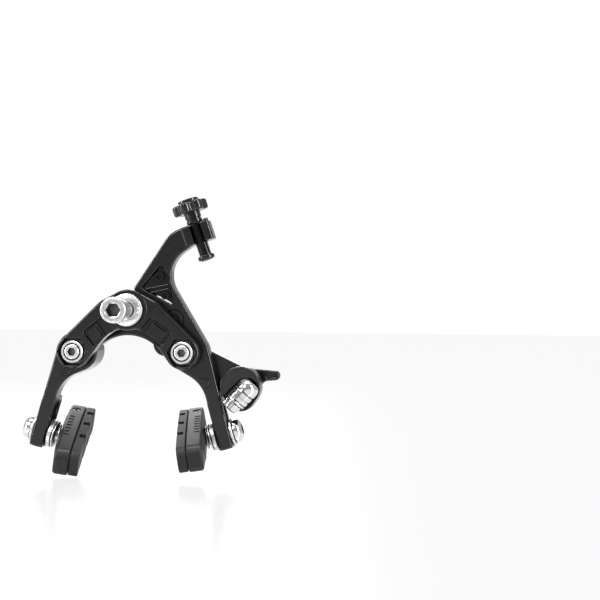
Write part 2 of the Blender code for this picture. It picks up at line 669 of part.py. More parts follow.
def arm_pieces(left_marker, right_marker):
    """Pins, roller and anchor bush that ride on the arms."""
    rear = LAYER_1 + ROLLER_WEB + GAP
    pin = turned("roller_pin", [
        (0.0, rear), (ROLLER_PIN_R, rear), (ROLLER_PIN_R, LAYER_2_END - 0.8),
        (0.0, LAYER_2_END - 0.8)], STEEL)
    carried(moved(pin, ROLLER), left_marker)
    axis = empty("roller_axis", (ROLLER[0] + PIVOT_HALF, 0.0, ROLLER[1] + PIVOT_DROP), parent=left_marker)
    roller = turned("sync_roller", ring_profile(
        ROLLER_PIN_R + GAP, ROLLER_R, rear, LAYER_1_END - 0.2, 0.3), STEEL)
    local(roller, axis)
    for name, place, marker in (("left_stop_pin", left_pin(), left_marker),
                                ("right_stop_pin", right_pin(), right_marker)):
        start = LAYER_1 - 0.1
        stop = turned(name, [(0.0, start), (STOP_PIN_R - 0.4, start), (STOP_PIN_R, start + 0.4),
                             (STOP_PIN_R, start + STOP_PIN_L), (0.0, start + STOP_PIN_L)], BLACK)
        carried(moved(stop, place), marker)
    bush = turned("anchor_bush", ring_profile(
        AXLE_R + GAP, AXLE_R + GAP + ANCHOR_BUSH_WALL,
        LAYER_2 + CAM_SEAT_DEPTH + 0.2, LAYER_2_END - 0.2), BRASS)
    carried(moved(bush, ANCHOR), left_marker)


def return_spring():
    """Torsion spring round the left pivot, with a leg into the bridge and one into the arm."""
    rear = BRIDGE_T - SPRING_LEG + GAP + 0.1
    base = LAYER_1 + SPRING_WIRE / 2 + 0.1
    turns_end = base + SPRING_TURNS * SPRING_PITCH
    front = turns_end + SPRING_LEG + 0.2
    points = [(SPRING_R, 0.0, rear), (SPRING_R, 0.0, rear + 1.0), (SPRING_R, 0.0, base - 0.2)]
    steps = 24
    for step in range(1, steps):
        share = step / steps
        angle = math.tau * SPRING_TURNS * share
        points.append((SPRING_R * math.cos(angle), SPRING_R * math.sin(angle),
                       base + share * (turns_end - base)))
    end = math.tau * SPRING_TURNS
    for depth in (turns_end + 0.2, front - 0.8, front):
        points.append((SPRING_R * math.cos(end), SPRING_R * math.sin(end), depth))
    curve = bpy.data.curves.new("return_spring", "CURVE")
    curve.dimensions = "3D"
    curve.bevel_depth = SPRING_WIRE / 2 * MM
    curve.bevel_resolution = 1
    curve.use_fill_caps = True
    curve.render_resolution_u = 0
    spline = curve.splines.new("NURBS")
    spline.points.add(len(points) - 1)
    spline.order_u = 3
    spline.use_endpoint_u = True
    spline.resolution_u = 2
    for slot, (u, v, depth) in zip(spline.points, points):
        slot.co = (*along("Y", u, v, depth), 1.0)
    spring = bpy.data.objects.new("return_spring", curve)
    bpy.context.scene.collection.objects.link(spring)
    finish_material(spring, SPRING_STEEL)
    spring.location = Vector(at(LEFT_PIVOT)) * MM


# ---------------------------------------------------------------- cable adjuster

def cable_adjuster(arm_marker):
    """Barrel, its stop ring and the knob that screws it up and down."""
    place = (EYE[0] - RIGHT_PIVOT[0], BARREL_Y, EYE[1] - RIGHT_PIVOT[1])
    axis = empty("barrel_axis", place, (0.0, -BARREL_LEAN, 0.0), arm_marker)
    knob_start = EYE_HEIGHT / 2 + KNOB_LIFT
    knob_end = knob_start + KNOB_T
    cup = BARREL_R + 1.3
    head = knob_start + 0.6
    barrel = turned("adjuster_barrel", [
        (CABLE_R, BARREL_BOTTOM), (BARREL_R, BARREL_BOTTOM), (BARREL_R, head), (cup, head),
        (cup, knob_end + GAP), (cup + 0.35, knob_end + GAP), (cup + 0.35, BARREL_TOP - 0.3),
        (cup + 0.05, BARREL_TOP), (HOUSING_R, BARREL_TOP), (HOUSING_R, BARREL_TOP - HOUSING_DEPTH),
        (CABLE_R, BARREL_TOP - HOUSING_DEPTH)], BLACK, "Z")
    ring = turned("barrel_stop_ring", ring_profile(
        BARREL_R + 0.1, BARREL_R + 0.75, BARREL_BOTTOM + 0.3, BARREL_BOTTOM + 2.0, 0.2), BLACK, "Z")
    outline = []
    steps = KNOB_LOBES * 6
    for step in range(steps):
        angle = math.tau * step / steps
        radius = KNOB_R - 0.55 * (1 - math.cos(KNOB_LOBES * angle))
        outline.append((radius * math.cos(angle), radius * math.sin(angle)))
    knob = prism("adjuster_knob", outline, knob_start, knob_end, BLACK, "Z")
    chamfer(knob, 0.4)
    neck_r = BARREL_R + GAP + 0.4
    neck = turned("knob_neck", [(0.0, EYE_HEIGHT / 2 + GAP), (neck_r, EYE_HEIGHT / 2 + GAP),
                                (neck_r, knob_start + 1.0), (0.0, knob_start + 1.0)], axis="Z")
    join(knob, neck)
    cut(knob, prism("knob_bore_cutter", circle(BARREL_R + GAP), 0.0, knob_end + 1.0, axis="Z"),
        prism("knob_cup_cutter", circle(cup + GAP), head - GAP, knob_end + 1.0, axis="Z"))
    for piece in (barrel, ring, knob):
        local(piece, axis)


# ---------------------------------------------------------------- cable anchor

def quick_release(arm_marker):
    """Cam, axle, washer and lever of the quick release."""
    place = (ANCHOR[0] - LEFT_PIVOT[0], 0.0, ANCHOR[1] - LEFT_PIVOT[1])
    axis = empty("release_axis", place, parent=arm_marker)
    cam = prism("release_cam", belt([(0.0, 0.0, CAM_R), (-0.4, -3.3, CAM_R - 1.5)]),
                CAM_Y, CAM_Y + CAM_T, CAM_BLACK)
    chamfer(cam, 0.4)
    along_clamp = (math.cos(CLAMP_LEAN), math.sin(CLAMP_LEAN))
    low = (CLAMP_OFFSET[0] - 9.0 * along_clamp[0], CLAMP_OFFSET[1] - 9.0 * along_clamp[1])
    high = (CLAMP_OFFSET[0] + 2.8 * along_clamp[0], CLAMP_OFFSET[1] + 2.8 * along_clamp[1])
    window = belt([(*high, CLAMP_R + 0.45), (*low, CLAMP_R + 0.9)])
    floor = CAM_Y + CAM_WINDOW_DEPTH
    cut(cam, prism("cam_window_cutter", window, CAM_Y - 1.0, floor),
        prism("trunnion_hole_cutter", circle(TRUNNION_R + GAP, *CLAMP_OFFSET), floor - 1.0, floor + 1.8),
        prism("cam_axle_cutter", circle(AXLE_R + GAP / 2), CAM_Y + CAM_T - 2.0, CAM_Y + CAM_T + 1.0))
    washer_start = LAYER_2_END + GAP
    washer = turned("release_washer", ring_profile(
        AXLE_R + GAP, ANCHOR_EYE_R - 1.4, washer_start, washer_start + RELEASE_WASHER_T), STEEL)
    lever_start = washer_start + RELEASE_WASHER_T + GAP
    lever = prism("release_lever", belt([
        (0.0, 0.0, CAM_R - 1.6), (LEVER_REACH - 2.5, -1.4, -3.2), (LEVER_REACH, 4.0, 2.0),
        (5.0, 5.0, 1.6)]), lever_start, lever_start + LEVER_T, BLACK)
    chamfer(lever, 0.5)
    bore = circle(AXLE_R + GAP / 2)
    cut(lever, prism("lever_bore_cutter", bore, lever_start - 1.0, lever_start + LEVER_T + 1.0))
    head = lever_start + LEVER_T + GAP
    axle = turned("release_axle", [
        (0.0, CAM_Y + CAM_T - 1.7), (AXLE_R, CAM_Y + CAM_T - 1.7), (AXLE_R, head), (4.2, head),
        (4.0, head + 0.9), (3.0, head + 1.6), (0.0, head + 1.6)], STEEL)
    cut(axle, prism("axle_socket_cutter", hexagon(PIVOT_SOCKET_AF), head, head + 3.0))
    for piece in (cam, washer, lever, axle):
        local(piece, axis)
    return axis


def cable_clamp(release_marker):
    """Swivelling clamp in the cam: collar with its trunnion, bolt, washer and nut."""
    place = (CLAMP_OFFSET[0], CLAMP_Y, CLAMP_OFFSET[1])
    axis = empty("clamp_axis", place, (0.0, -CLAMP_LEAN, 0.0), release_marker)
    shank = CLAMP_R - 2.0
    bore = shank + GAP
    bolt = turned("clamp_bolt", [
        (0.0, -7.0), (shank, -7.0), (shank, 2.2), (CLAMP_R, 2.2), (CLAMP_R, 3.4),
        (CLAMP_R - 0.5, 4.9), (CLAMP_R - 1.9, 6.4), (0.0, 7.0)], CHROME, "X")
    collar = turned("clamp_collar", ring_profile(bore, CLAMP_R, -2.3, 1.9, 0.3), CHROME, "X")
    trunnion_end = CAM_Y + CAM_WINDOW_DEPTH + 1.5 - CLAMP_Y
    trunnion = prism("clamp_trunnion", circle(TRUNNION_R), shank + 1.0, trunnion_end)
    join(collar, trunnion)
    washer = turned("clamp_washer", ring_profile(bore, CLAMP_R - 0.2, -3.5, -2.6, 0.2), CHROME, "X")
    nut = turned("clamp_nut", ring_profile(bore, CLAMP_NUT_R, -7.2, -3.8, 0.5), CHROME, "X")
    for piece in (bolt, collar, washer, nut):
        local(piece, axis)


# ---------------------------------------------------------------- pads

def pad_outline(inset, lift):
    """Pad seen from the rim: a bar with round ends, bent to the rim's curve and lifted."""
    half_l = PAD_L / 2 - inset
    half_h = PAD_H / 2 - inset
    corner = min(4.2, half_h * 0.8)
    flat = belt([(half_l - corner, half_h - corner, corner), (corner - half_l, half_h - corner, corner),
                 (corner - half_l, corner - half_h, corner), (half_l - corner, corner - half_h, corner)])
    filled = []
    for index, (u, v) in enumerate(flat):
        after = flat[(index + 1) % len(flat)]
        steps = max(1, round(abs(after[0] - u) / 8.0))
        for step in range(steps):
            filled.append((u + (after[0] - u) * step / steps, v + (after[1] - v) * step / steps))
    return [(u, v + lift - u * u / (2 * RIM_R)) for u, v in filled]


def pad_assembly(side, arm_marker, pivot):
    """Pad, holder, bolt and washers on one arm. Depths run inwards from the leg's middle."""
    if side < 0:
        name, toe_in, upright, lift = "left", LEFT_PAD_TOE, LEFT_PAD_UPRIGHT, 0.0
    else:
        name, toe_in, upright, lift = "right", RIGHT_PAD_TOE, RIGHT_PAD_UPRIGHT, RIGHT_PAD_LIFT
    place = (side * PAD_HALF - pivot[0], LEG_MID, -PAD_DROP - pivot[1])
    leg = empty(f"{name}_pad_bolt_axis", place, (0.0, -side * LEG_LEAN, 0.0), arm_marker)
    face = LEG_T / 2
    inner = face + GAP
    cup_start = inner + SPACER_T + GAP
    cup_end = cup_start + CUP_T
    ball_start = cup_end + BALL_GAP
    ball_end = ball_start + CUP_T
    back = ball_end + GAP
    body = back + BULGE_T
    front = body + HOLDER_T

    def depth(value):
        """A distance inwards from the leg's middle plane, along the pad bolt's axis."""
        return -side * value

    washer_end = face + GAP + PAD_WASHER_T
    head = washer_end + GAP
    tip = back + PAD_BOLT_GRIP
    bolt = turned(f"{name}_pad_bolt", [
        (0.0, depth(tip)), (PAD_BOLT_R, depth(tip)), (PAD_BOLT_R, depth(-head)),
        (PAD_HEAD_R, depth(-head)), (PAD_HEAD_R, depth(-head - 1.0)), (PAD_HEAD_R - 1.2, depth(-head - 2.7)),
        (PAD_HEAD_R - 2.6, depth(-head - 3.4)), (0.0, depth(-head - 3.4))], CHROME, "X")
    socket = hexagon(PAD_SOCKET_AF)
    cut(bolt, prism(f"{name}_pad_socket_cutter", socket, depth(-head - 1.4), depth(-head - 5.0), axis="X"))

    def washer(label, inner_r, outer_r, start, end, finish):
        """A washer on the pad bolt between two depths."""
        places = sorted((depth(start), depth(end)))
        return turned(f"{name}_{label}_washer", ring_profile(inner_r, outer_r, *places, 0.2), finish, "X")

    bore = PAD_BOLT_R + GAP
    for piece in (bolt,
                  washer("outer", bore, PAD_WASHER_R - 0.4, -washer_end, -face - GAP, STEEL),
                  washer("inner", bore, PAD_WASHER_R, inner, inner + SPACER_T, STEEL),
                  washer("cup", bore, PAD_WASHER_R - 0.3, cup_start, cup_end, STEEL)):
        local(piece, leg)
    tilt = empty(f"{name}_pad_axis", (0.0, 0.0, 0.0), (PAD_PITCH, 0.0, 0.0), leg)
    toe = empty(f"{name}_pad_frame", (depth(cup_end), 0.0, 0.0), (0.0, side * upright, toe_in), tilt)

    def span(start, end):
        """Two depths of the pad's frame, which starts at the cup washer, in rising order."""
        return sorted((depth(start - cup_end), depth(end - cup_end)))

    loose = PAD_BOLT_R + 1.0
    ball = turned(f"{name}_ball_washer",
                  ring_profile(loose, PAD_WASHER_R - 1.1, *span(ball_start, ball_end), 0.2), STEEL, "X")
    holder = prism(f"{name}_pad_holder", pad_outline(0.0, lift), *span(body, front), PLASTIC, "X")
    chamfer(holder, 0.6)
    small = [(12.5, 0.0, 3.6), (-14.5, 0.0, 3.6)]
    large = [(17.0, 0.3, 4.4), (-19.0, 0.3, 4.4)]
    join(holder, tapered(f"{name}_holder_bulge", small, large,
                         depth(back - cup_end), depth(body + 0.5 - cup_end)))
    seat_floor = front - RUBBER_SEAT
    screw_x = depth(body + 2.6 - cup_end)
    screw_y = PAD_L / 2 - 8.0
    screw_top = PAD_H / 2 + lift - 1.0
    screw_end = screw_top - 4.2
    cut(holder,
        prism(f"{name}_seat_cutter", pad_outline(RUBBER_SEAT, lift),
              *span(seat_floor - GAP, front + 1.0), axis="X"),
        prism(f"{name}_bolt_hole_cutter", circle(loose), *span(back - 1.0, tip + 0.7), axis="X"),
        prism(f"{name}_screw_hole_cutter", circle(SCREW_R + GAP, screw_x, screw_y, 12),
              screw_end - GAP, PAD_H, axis="Z"))
    screw = prism(f"{name}_pad_screw", circle(SCREW_R, screw_x, screw_y, 12),
                  screw_end, screw_top - 0.6, STEEL, "Z")
    rubber_start = front + GAP
    rubber = prism(f"{name}_pad_rubber", pad_outline(0.2, lift),
                   *span(rubber_start, rubber_start + RUBBER_T), RUBBER, "X")
    chamfer(rubber, 0.4)
    join(rubber, prism(f"{name}_rubber_root", pad_outline(RUBBER_SEAT + GAP, lift),
                       *span(seat_floor, front + 1.0), axis="X"))
    for piece in (ball, holder, screw, rubber):
        local(piece, toe)


def build():
    """Remove what the scene holds and model the caliper."""
    for obj in list(bpy.data.objects):
        bpy.data.objects.remove(obj)
    left_marker = empty("left_pivot", at(LEFT_PIVOT))
    right_marker = empty("right_pivot", at(RIGHT_PIVOT))
    bridge_plate()
    mounting_hardware()
    pivot_hardware("left", LEFT_PIVOT, LAYER_2_END, left_marker)
    pivot_hardware("right", RIGHT_PIVOT, LAYER_1_END, right_marker)
    anchor_arm(left_marker)
    adjuster_arm(right_marker)
    arm_pieces(left_marker, right_marker)
    return_spring()
    cable_adjuster(right_marker)
    cable_clamp(quick_release(left_marker))
    pad_assembly(-1, left_marker, LEFT_PIVOT)
    pad_assembly(1, right_marker, RIGHT_PIVOT)
    bpy.context.view_layer.update()


build()
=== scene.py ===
"""Looks of the dual-pivot rim brake caliper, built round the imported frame. Sizes are in millimetres."""
import math

import bmesh
import bpy
from mathutils import Matrix, Vector


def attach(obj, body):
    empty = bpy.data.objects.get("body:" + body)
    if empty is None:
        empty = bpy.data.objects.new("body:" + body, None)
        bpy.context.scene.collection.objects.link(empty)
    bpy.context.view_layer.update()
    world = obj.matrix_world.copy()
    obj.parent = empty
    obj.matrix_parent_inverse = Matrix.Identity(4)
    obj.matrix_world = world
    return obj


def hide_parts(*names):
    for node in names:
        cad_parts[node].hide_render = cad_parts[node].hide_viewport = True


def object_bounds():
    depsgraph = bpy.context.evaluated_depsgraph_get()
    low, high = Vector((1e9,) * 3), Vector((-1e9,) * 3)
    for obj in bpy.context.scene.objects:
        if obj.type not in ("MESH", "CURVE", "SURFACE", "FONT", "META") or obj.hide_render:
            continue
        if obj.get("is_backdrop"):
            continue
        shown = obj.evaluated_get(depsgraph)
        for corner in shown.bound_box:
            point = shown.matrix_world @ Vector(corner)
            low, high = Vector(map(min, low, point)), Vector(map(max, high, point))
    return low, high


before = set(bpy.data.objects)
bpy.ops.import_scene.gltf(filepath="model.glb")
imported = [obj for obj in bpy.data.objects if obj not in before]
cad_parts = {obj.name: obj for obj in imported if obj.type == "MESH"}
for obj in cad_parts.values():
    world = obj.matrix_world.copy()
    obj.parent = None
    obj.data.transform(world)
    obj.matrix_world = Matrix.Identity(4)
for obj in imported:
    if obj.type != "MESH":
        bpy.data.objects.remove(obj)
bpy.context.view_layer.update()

MM = 0.001
GAP = 0.3
ARC = math.radians(5)
SIDES = 72

PIVOT_HALF, PIVOT_DROP = 22.0, 16.8
BRIDGE_T = 7.0
BOSS_R, SHOULDER_R, BRIDGE_LOBE_R = 8.2, 8.6, 6.7
BOLT_HOLE_R = 3.3
LAYER_1, LAYER_1_END = 8.0, 15.5
LAYER_2, LAYER_2_END = 16.2, 22.7
LEG_DEPTH, LEG_MID = 12.5, 14.25
PAD_HALF, PAD_DROP = 37.2, 49.5
LEG_LEAN = math.radians(15.8)
LEG_T = 5.4
SLOT_TRAVEL = 9.5
FOOT = 6.1
ROLLER = (17.5, -3.7)
ROLLER_R = 3.4
ARM_TRAVEL = math.radians(12)
ROLLER_WEB = 1.5
EYE = (26.4, 30.9)
BARREL_LEAN = math.radians(18.9)
BARREL_Y = 11.75
BARREL_R = 2.6
ANCHOR = (44.1, -30.3)
CAM_R, CAM_Y, CAM_T = 8.2, 8.7, 8.4
CLAMP_OFFSET = (0.8, -3.3)
CLAMP_LEAN = math.radians(47)
CLAMP_R = 4.4
CLAMP_Y = 7.7
PAD_L, PAD_H = 51.0, 11.0
PAD_PITCH = math.radians(16.5)
PAD_TOE = {"left": math.radians(10), "right": math.radians(3.5)}
PAD_UPRIGHT = {"left": math.radians(-4), "right": math.radians(9)}
PAD_LIFT = {"left": 0.0, "right": 1.2}
RIM_R = 311.0
LEFT_PIVOT = (-PIVOT_HALF, -PIVOT_DROP)
RIGHT_PIVOT = (PIVOT_HALF, -PIVOT_DROP)
LEFT_PIN, RIGHT_PIN = (-26.1, -24.6), (30.2, -28.7)
PIN_R, PIN_BORE_R = 2.1, 2.25


# ---------------------------------------------------------------- materials

SPOT_SCALE = 700.0            # noise of the colour and the roughness, per metre


def link(tree, source, output, target, socket):
    tree.links.new(source.outputs[output], target.inputs[socket])


def material(name, color, roughness, metallic=0.0, spots=0.25, bump=0.15, bump_scale=1500.0,
             specular=0.5, depth=0.00004, cavity_shade=0.5):
    """Principled material whose colour, roughness and surface vary with procedural noise, and whose colour is
    darkened in hollows by painted shade from an ambient-occlusion node.
    """
    made = bpy.data.materials.new(name)
    made.use_nodes = True
    tree = made.node_tree
    shader = tree.nodes["Principled BSDF"]
    shader.inputs["Metallic"].default_value = metallic
    shader.inputs["Specular IOR Level"].default_value = specular
    place = tree.nodes.new("ShaderNodeTexCoord")
    cloud = tree.nodes.new("ShaderNodeTexNoise")
    cloud.inputs["Scale"].default_value = SPOT_SCALE
    cloud.inputs["Detail"].default_value = 4.0
    link(tree, place, "Object", cloud, "Vector")
    tint = tree.nodes.new("ShaderNodeValToRGB")
    tint.color_ramp.elements[0].position = 0.3
    tint.color_ramp.elements[1].position = 0.75
    tint.color_ramp.elements[0].color = (*[c * (1 - spots) for c in color], 1.0)
    tint.color_ramp.elements[1].color = (*[min(1.0, c * (1 + spots)) for c in color], 1.0)
    link(tree, cloud, "Fac", tint, "Fac")
    # Painted shade: an ambient-occlusion node darkens the base colour in bores, creases, recesses and between
    # parts.
    hollow_shade = tree.nodes.new("ShaderNodeAmbientOcclusion")
    hollow_shade.samples = 8
    hollow_shade.inputs["Distance"].default_value = 0.006
    shadow = tree.nodes.new("ShaderNodeMapRange")
    shadow.inputs["From Min"].default_value = 0.25
    shadow.inputs["From Max"].default_value = 0.85
    shadow.inputs["To Min"].default_value = 1.0 - cavity_shade
    link(tree, hollow_shade, "AO", shadow, "Value")
    shaded = tree.nodes.new("ShaderNodeMix")
    shaded.data_type = "RGBA"
    shaded.blend_type = "MULTIPLY"
    shaded.inputs["Factor"].default_value = 1.0
    tree.links.new(tint.outputs["Color"], shaded.inputs[6])
    tree.links.new(shadow.outputs["Result"], shaded.inputs[7])
    tree.links.new(shaded.outputs[2], shader.inputs["Base Color"])
    rough = tree.nodes.new("ShaderNodeMapRange")
    rough.inputs["To Min"].default_value = roughness * 0.8
    rough.inputs["To Max"].default_value = min(1.0, roughness * 1.25)
    link(tree, cloud, "Fac", rough, "Value")
    link(tree, rough, "Result", shader, "Roughness")
    grain = tree.nodes.new("ShaderNodeTexNoise")
    grain.inputs["Scale"].default_value = bump_scale
    grain.inputs["Detail"].default_value = 3.0
    link(tree, place, "Object", grain, "Vector")
    relief = tree.nodes.new("ShaderNodeBump")
    relief.inputs["Strength"].default_value = bump
    relief.inputs["Distance"].default_value = depth
    link(tree, grain, "Fac", relief, "Height")
    link(tree, relief, "Normal", shader, "Normal")
    return made


# The cavity values set how far the painted ambient-occlusion shade darkens each colour in hollows.
PAINT = material("gloss_black_paint", (0.006, 0.006, 0.007), 0.18, bump=0.22, bump_scale=420.0,
                 specular=0.5, depth=0.00006, cavity_shade=0.8)
CAM_PAINT = material("cam_anodised", (0.018, 0.016, 0.019), 0.26, metallic=0.2, bump=0.1)
ANODISED = material("black_anodised", (0.007, 0.007, 0.008), 0.16, bump=0.12, cavity_shade=0.8)
SILVER = material("satin_silver", (0.74, 0.74, 0.75), 0.34, metallic=1.0, spots=0.10, bump=0.3,
                  bump_scale=2500.0, cavity_shade=0.88)
CHROME = material("bright_chrome", (0.80, 0.80, 0.81), 0.08, metallic=1.0, spots=0.04, bump=0.05, cavity_shade=0.9)
BRASS = material("bearing_brass", (0.78, 0.58, 0.26), 0.32, metallic=1.0, spots=0.08)
SPRING_WIRE = material("spring_wire", (0.42, 0.43, 0.45), 0.30, metallic=1.0, spots=0.1, bump=0.3)
PLASTIC = material("moulded_plastic", (0.010, 0.010, 0.011), 0.42, bump=0.35, bump_scale=2600.0,
                   specular=0.32)
RUBBER = material("brake_rubber", (0.010, 0.010, 0.011), 0.52, bump=0.5, bump_scale=3200.0, spots=0.2,
                  specular=0.32)


# ---------------------------------------------------------------- outlines

def belt(pulleys, inset=0.0):
    """Outline of a belt round circles (u, v, radius), drawn in by an inset.

    A negative radius bends inwards.
    """
    normals = []
    for index, (u1, v1, r1) in enumerate(pulleys):
        u2, v2, r2 = pulleys[(index + 1) % len(pulleys)]
        heading = math.atan2(v2 - v1, u2 - u1)
        normals.append(heading + math.acos((r2 - r1) / math.hypot(u2 - u1, v2 - v1)))
    points = []
    for index, (u, v, radius) in enumerate(pulleys):
        start, end = normals[index - 1], normals[index]
        turn = (end - start) % math.tau if radius >= 0 else -((start - end) % math.tau)
        steps = max(1, math.ceil(abs(turn) / ARC))
        for step in range(steps + 1):
            angle = start + turn * step / steps
            reach = radius - inset
            points.append((u - reach * math.cos(angle), v - reach * math.sin(angle)))
    return points


def circle(radius, u=0.0, v=0.0, sides=SIDES):
    angles = [math.tau * step / sides for step in range(sides)]
    return [(u + radius * math.cos(a), v + radius * math.sin(a)) for a in angles]


def hexagon(across_flats, u=0.0, v=0.0):
    """A hexagon with a flat at its bottom."""
    return circle(across_flats / math.sqrt(3), u, v, 6)


def edge_steps(size, start, inwards, steps=4):
    """(inset, depth) along a quarter round from a face at a depth."""
    turns = [math.pi / 2 * step / steps for step in range(steps + 1)]
    return [(size * (1 - math.sin(a)), start + inwards * size * (1 - math.cos(a))) for a in turns]


# ---------------------------------------------------------------- meshes

def along(axis, u, v, depth):
    return Vector({"X": (depth, u, v), "Y": (u, depth, v), "Z": (u, v, depth)}[axis]) * MM


def shade(mesh, angle=32):
    mesh.shade_smooth()
    mesh.set_sharp_from_angle(angle=math.radians(angle))


def from_mesh(name, vertices, faces, finish=None):
    mesh = bpy.data.meshes.new(name)
    mesh.from_pydata(vertices, [], faces)
    shell = bmesh.new()
    shell.from_mesh(mesh)
    bmesh.ops.remove_doubles(shell, verts=shell.verts, dist=0.0005 * MM)
    bmesh.ops.recalc_face_normals(shell, faces=shell.faces)
    shell.to_mesh(mesh)
    shell.free()
    shade(mesh)
    made = bpy.data.objects.new(name, mesh)
    bpy.context.scene.collection.objects.link(made)
    if finish:
        mesh.materials.append(finish)
    return made


def loft(name, rings, finish=None, axis="Y"):
    """A closed body through rings of (outline, depth) with the same number of points."""
    count = len(rings[0][0])
    vertices = [along(axis, u, v, depth) for outline, depth in rings for u, v in outline]
    faces = [list(range(count)), list(range(len(vertices) - 1, len(vertices) - count - 1, -1))]
    for ring in range(len(rings) - 1):
        for i in range(count):
            j = (i + 1) % count
            a, b = ring * count, (ring + 1) * count
            faces.append([a + i, b + i, b + j, a + j])
    return from_mesh(name, vertices, faces, finish)


def slab(name, pulleys, start, end, finish=None, edges=(0.0, 0.0), axis="Y"):
    """A plate with rounded edges at its start and end faces."""
    rings = []
    rings += edge_steps(edges[0], start, 1) if edges[0] else [(0.0, start)]
    rings += edge_steps(edges[1], end, -1)[::-1] if edges[1] else [(0.0, end)]
    return loft(name, [(belt(pulleys, inset), depth) for inset, depth in rings], finish, axis)


def prism(name, outline, start, end, finish=None, axis="Y"):
    return loft(name, [(outline, start), (outline, end)], finish, axis)


def pocket(name, pulleys, face, depth, rim=0.35, floor=0.5, draft=0.25):
    """Cutter for a cast recess with a rounded rim, drafted walls and a rounded floor."""
    quarter = [math.pi / 8 * k for k in range(5)]
    rings = [(-rim, face - 1.0)]
    rings += [(-rim * (1 - math.sin(a)), face + rim * (1 - math.cos(a))) for a in quarter]
    rings += [(draft + floor * (1 - math.cos(a)), face + depth - floor * (1 - math.sin(a))) for a in quarter]
    return loft(name, [(belt(pulleys, inset), place) for inset, place in rings])


def turned(name, profile, finish=None, axis="Y", sides=SIDES, wave=None):
    """A closed profile of (radius, depth) points turned about the axis."""
    vertices, rings = [], []
    for radius, depth in profile:
        rings.append(range(len(vertices), len(vertices) + (sides if radius > 0 else 1)))
        for step in range(len(rings[-1])):
            angle = math.tau * step / sides
            out, deep = wave(step, radius, depth) if wave else (0.0, 0.0)
            vertices.append(along(axis, (radius + out) * math.cos(angle), (radius + out) * math.sin(angle),
                                  depth + deep))
    faces = []
    for ring, after in zip(rings, rings[1:] + rings[:1]):
        if len(ring) == 1 and len(after) == 1:
            continue
        for step in range(sides):
            n = (step + 1) % sides
            corners = [ring[step % len(ring)], ring[n % len(ring)], after[n % len(after)],
                       after[step % len(after)]]
            faces.append(list(dict.fromkeys(corners)))
    return from_mesh(name, vertices, faces, finish)


def combine(made, tools, operation):
    for tool in tools:
        step = made.modifiers.new(operation.lower(), "BOOLEAN")
        step.operation = operation
        step.solver = "EXACT"
        step.object = tool
        tool.hide_render = True
    made["tools"] = list(made.get("tools", [])) + [tool.name for tool in tools]
    return made


def cut(made, *tools):
    return combine(made, tools, "DIFFERENCE")


def join(made, *tools):
    return combine(made, tools, "UNION")


def transformed(matrix, *items):
    for item in items:
        item.data.transform(matrix)
        for name in item.get("tools", []):
            bpy.data.objects[name].data.transform(matrix)
    return items[0]


def settled(made):
    """Turn the modifiers of a piece into its mesh, and remove the cutters."""
    finish = made.data.materials[0] if made.data.materials else None
    bpy.context.view_layer.update()
    done = bpy.data.meshes.new_from_object(made.evaluated_get(bpy.context.evaluated_depsgraph_get()))
    made.modifiers.clear()
    for name in made.get("tools", []):
        bpy.data.objects.remove(bpy.data.objects[name])
    if "tools" in made:
        del made["tools"]
    made.data = done
    done.materials.clear()
    if finish:
        done.materials.append(finish)
    for polygon in done.polygons:
        polygon.material_index = 0
    shade(done)
    return made


def place(made, body, *nodes):
    """Finish a piece: settle it, hang it on its body and let it stand for its CAD nodes."""
    settled(made)
    smooth = made.modifiers.new("normals", "WEIGHTED_NORMAL")
    smooth.keep_sharp = True
    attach(made, body)
    if nodes:
        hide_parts(*nodes)
    return made


def shift(u=0.0, y=0.0, v=0.0):
    return Matrix.Translation(Vector((u, y, v)) * MM)


def turn(angle, axis):
    return Matrix.Rotation(angle, 4, axis)


def ring_profile(inner, outer, start, end, edge=0.0):
    """Profile of a washer or bush with rounded outer edges."""
    if not edge:
        return [(inner, start), (outer, start), (outer, end), (inner, end)]
    low = [(outer - inset, depth) for inset, depth in edge_steps(edge, start, 1, 3)]
    high = [(outer - inset, depth) for inset, depth in edge_steps(edge, end, -1, 3)]
    return [(inner, start)] + low + high[::-1] + [(inner, end)]


# ---------------------------------------------------------------- fixed pieces

def at(pivot):
    return shift(pivot[0], 0.0, pivot[1])


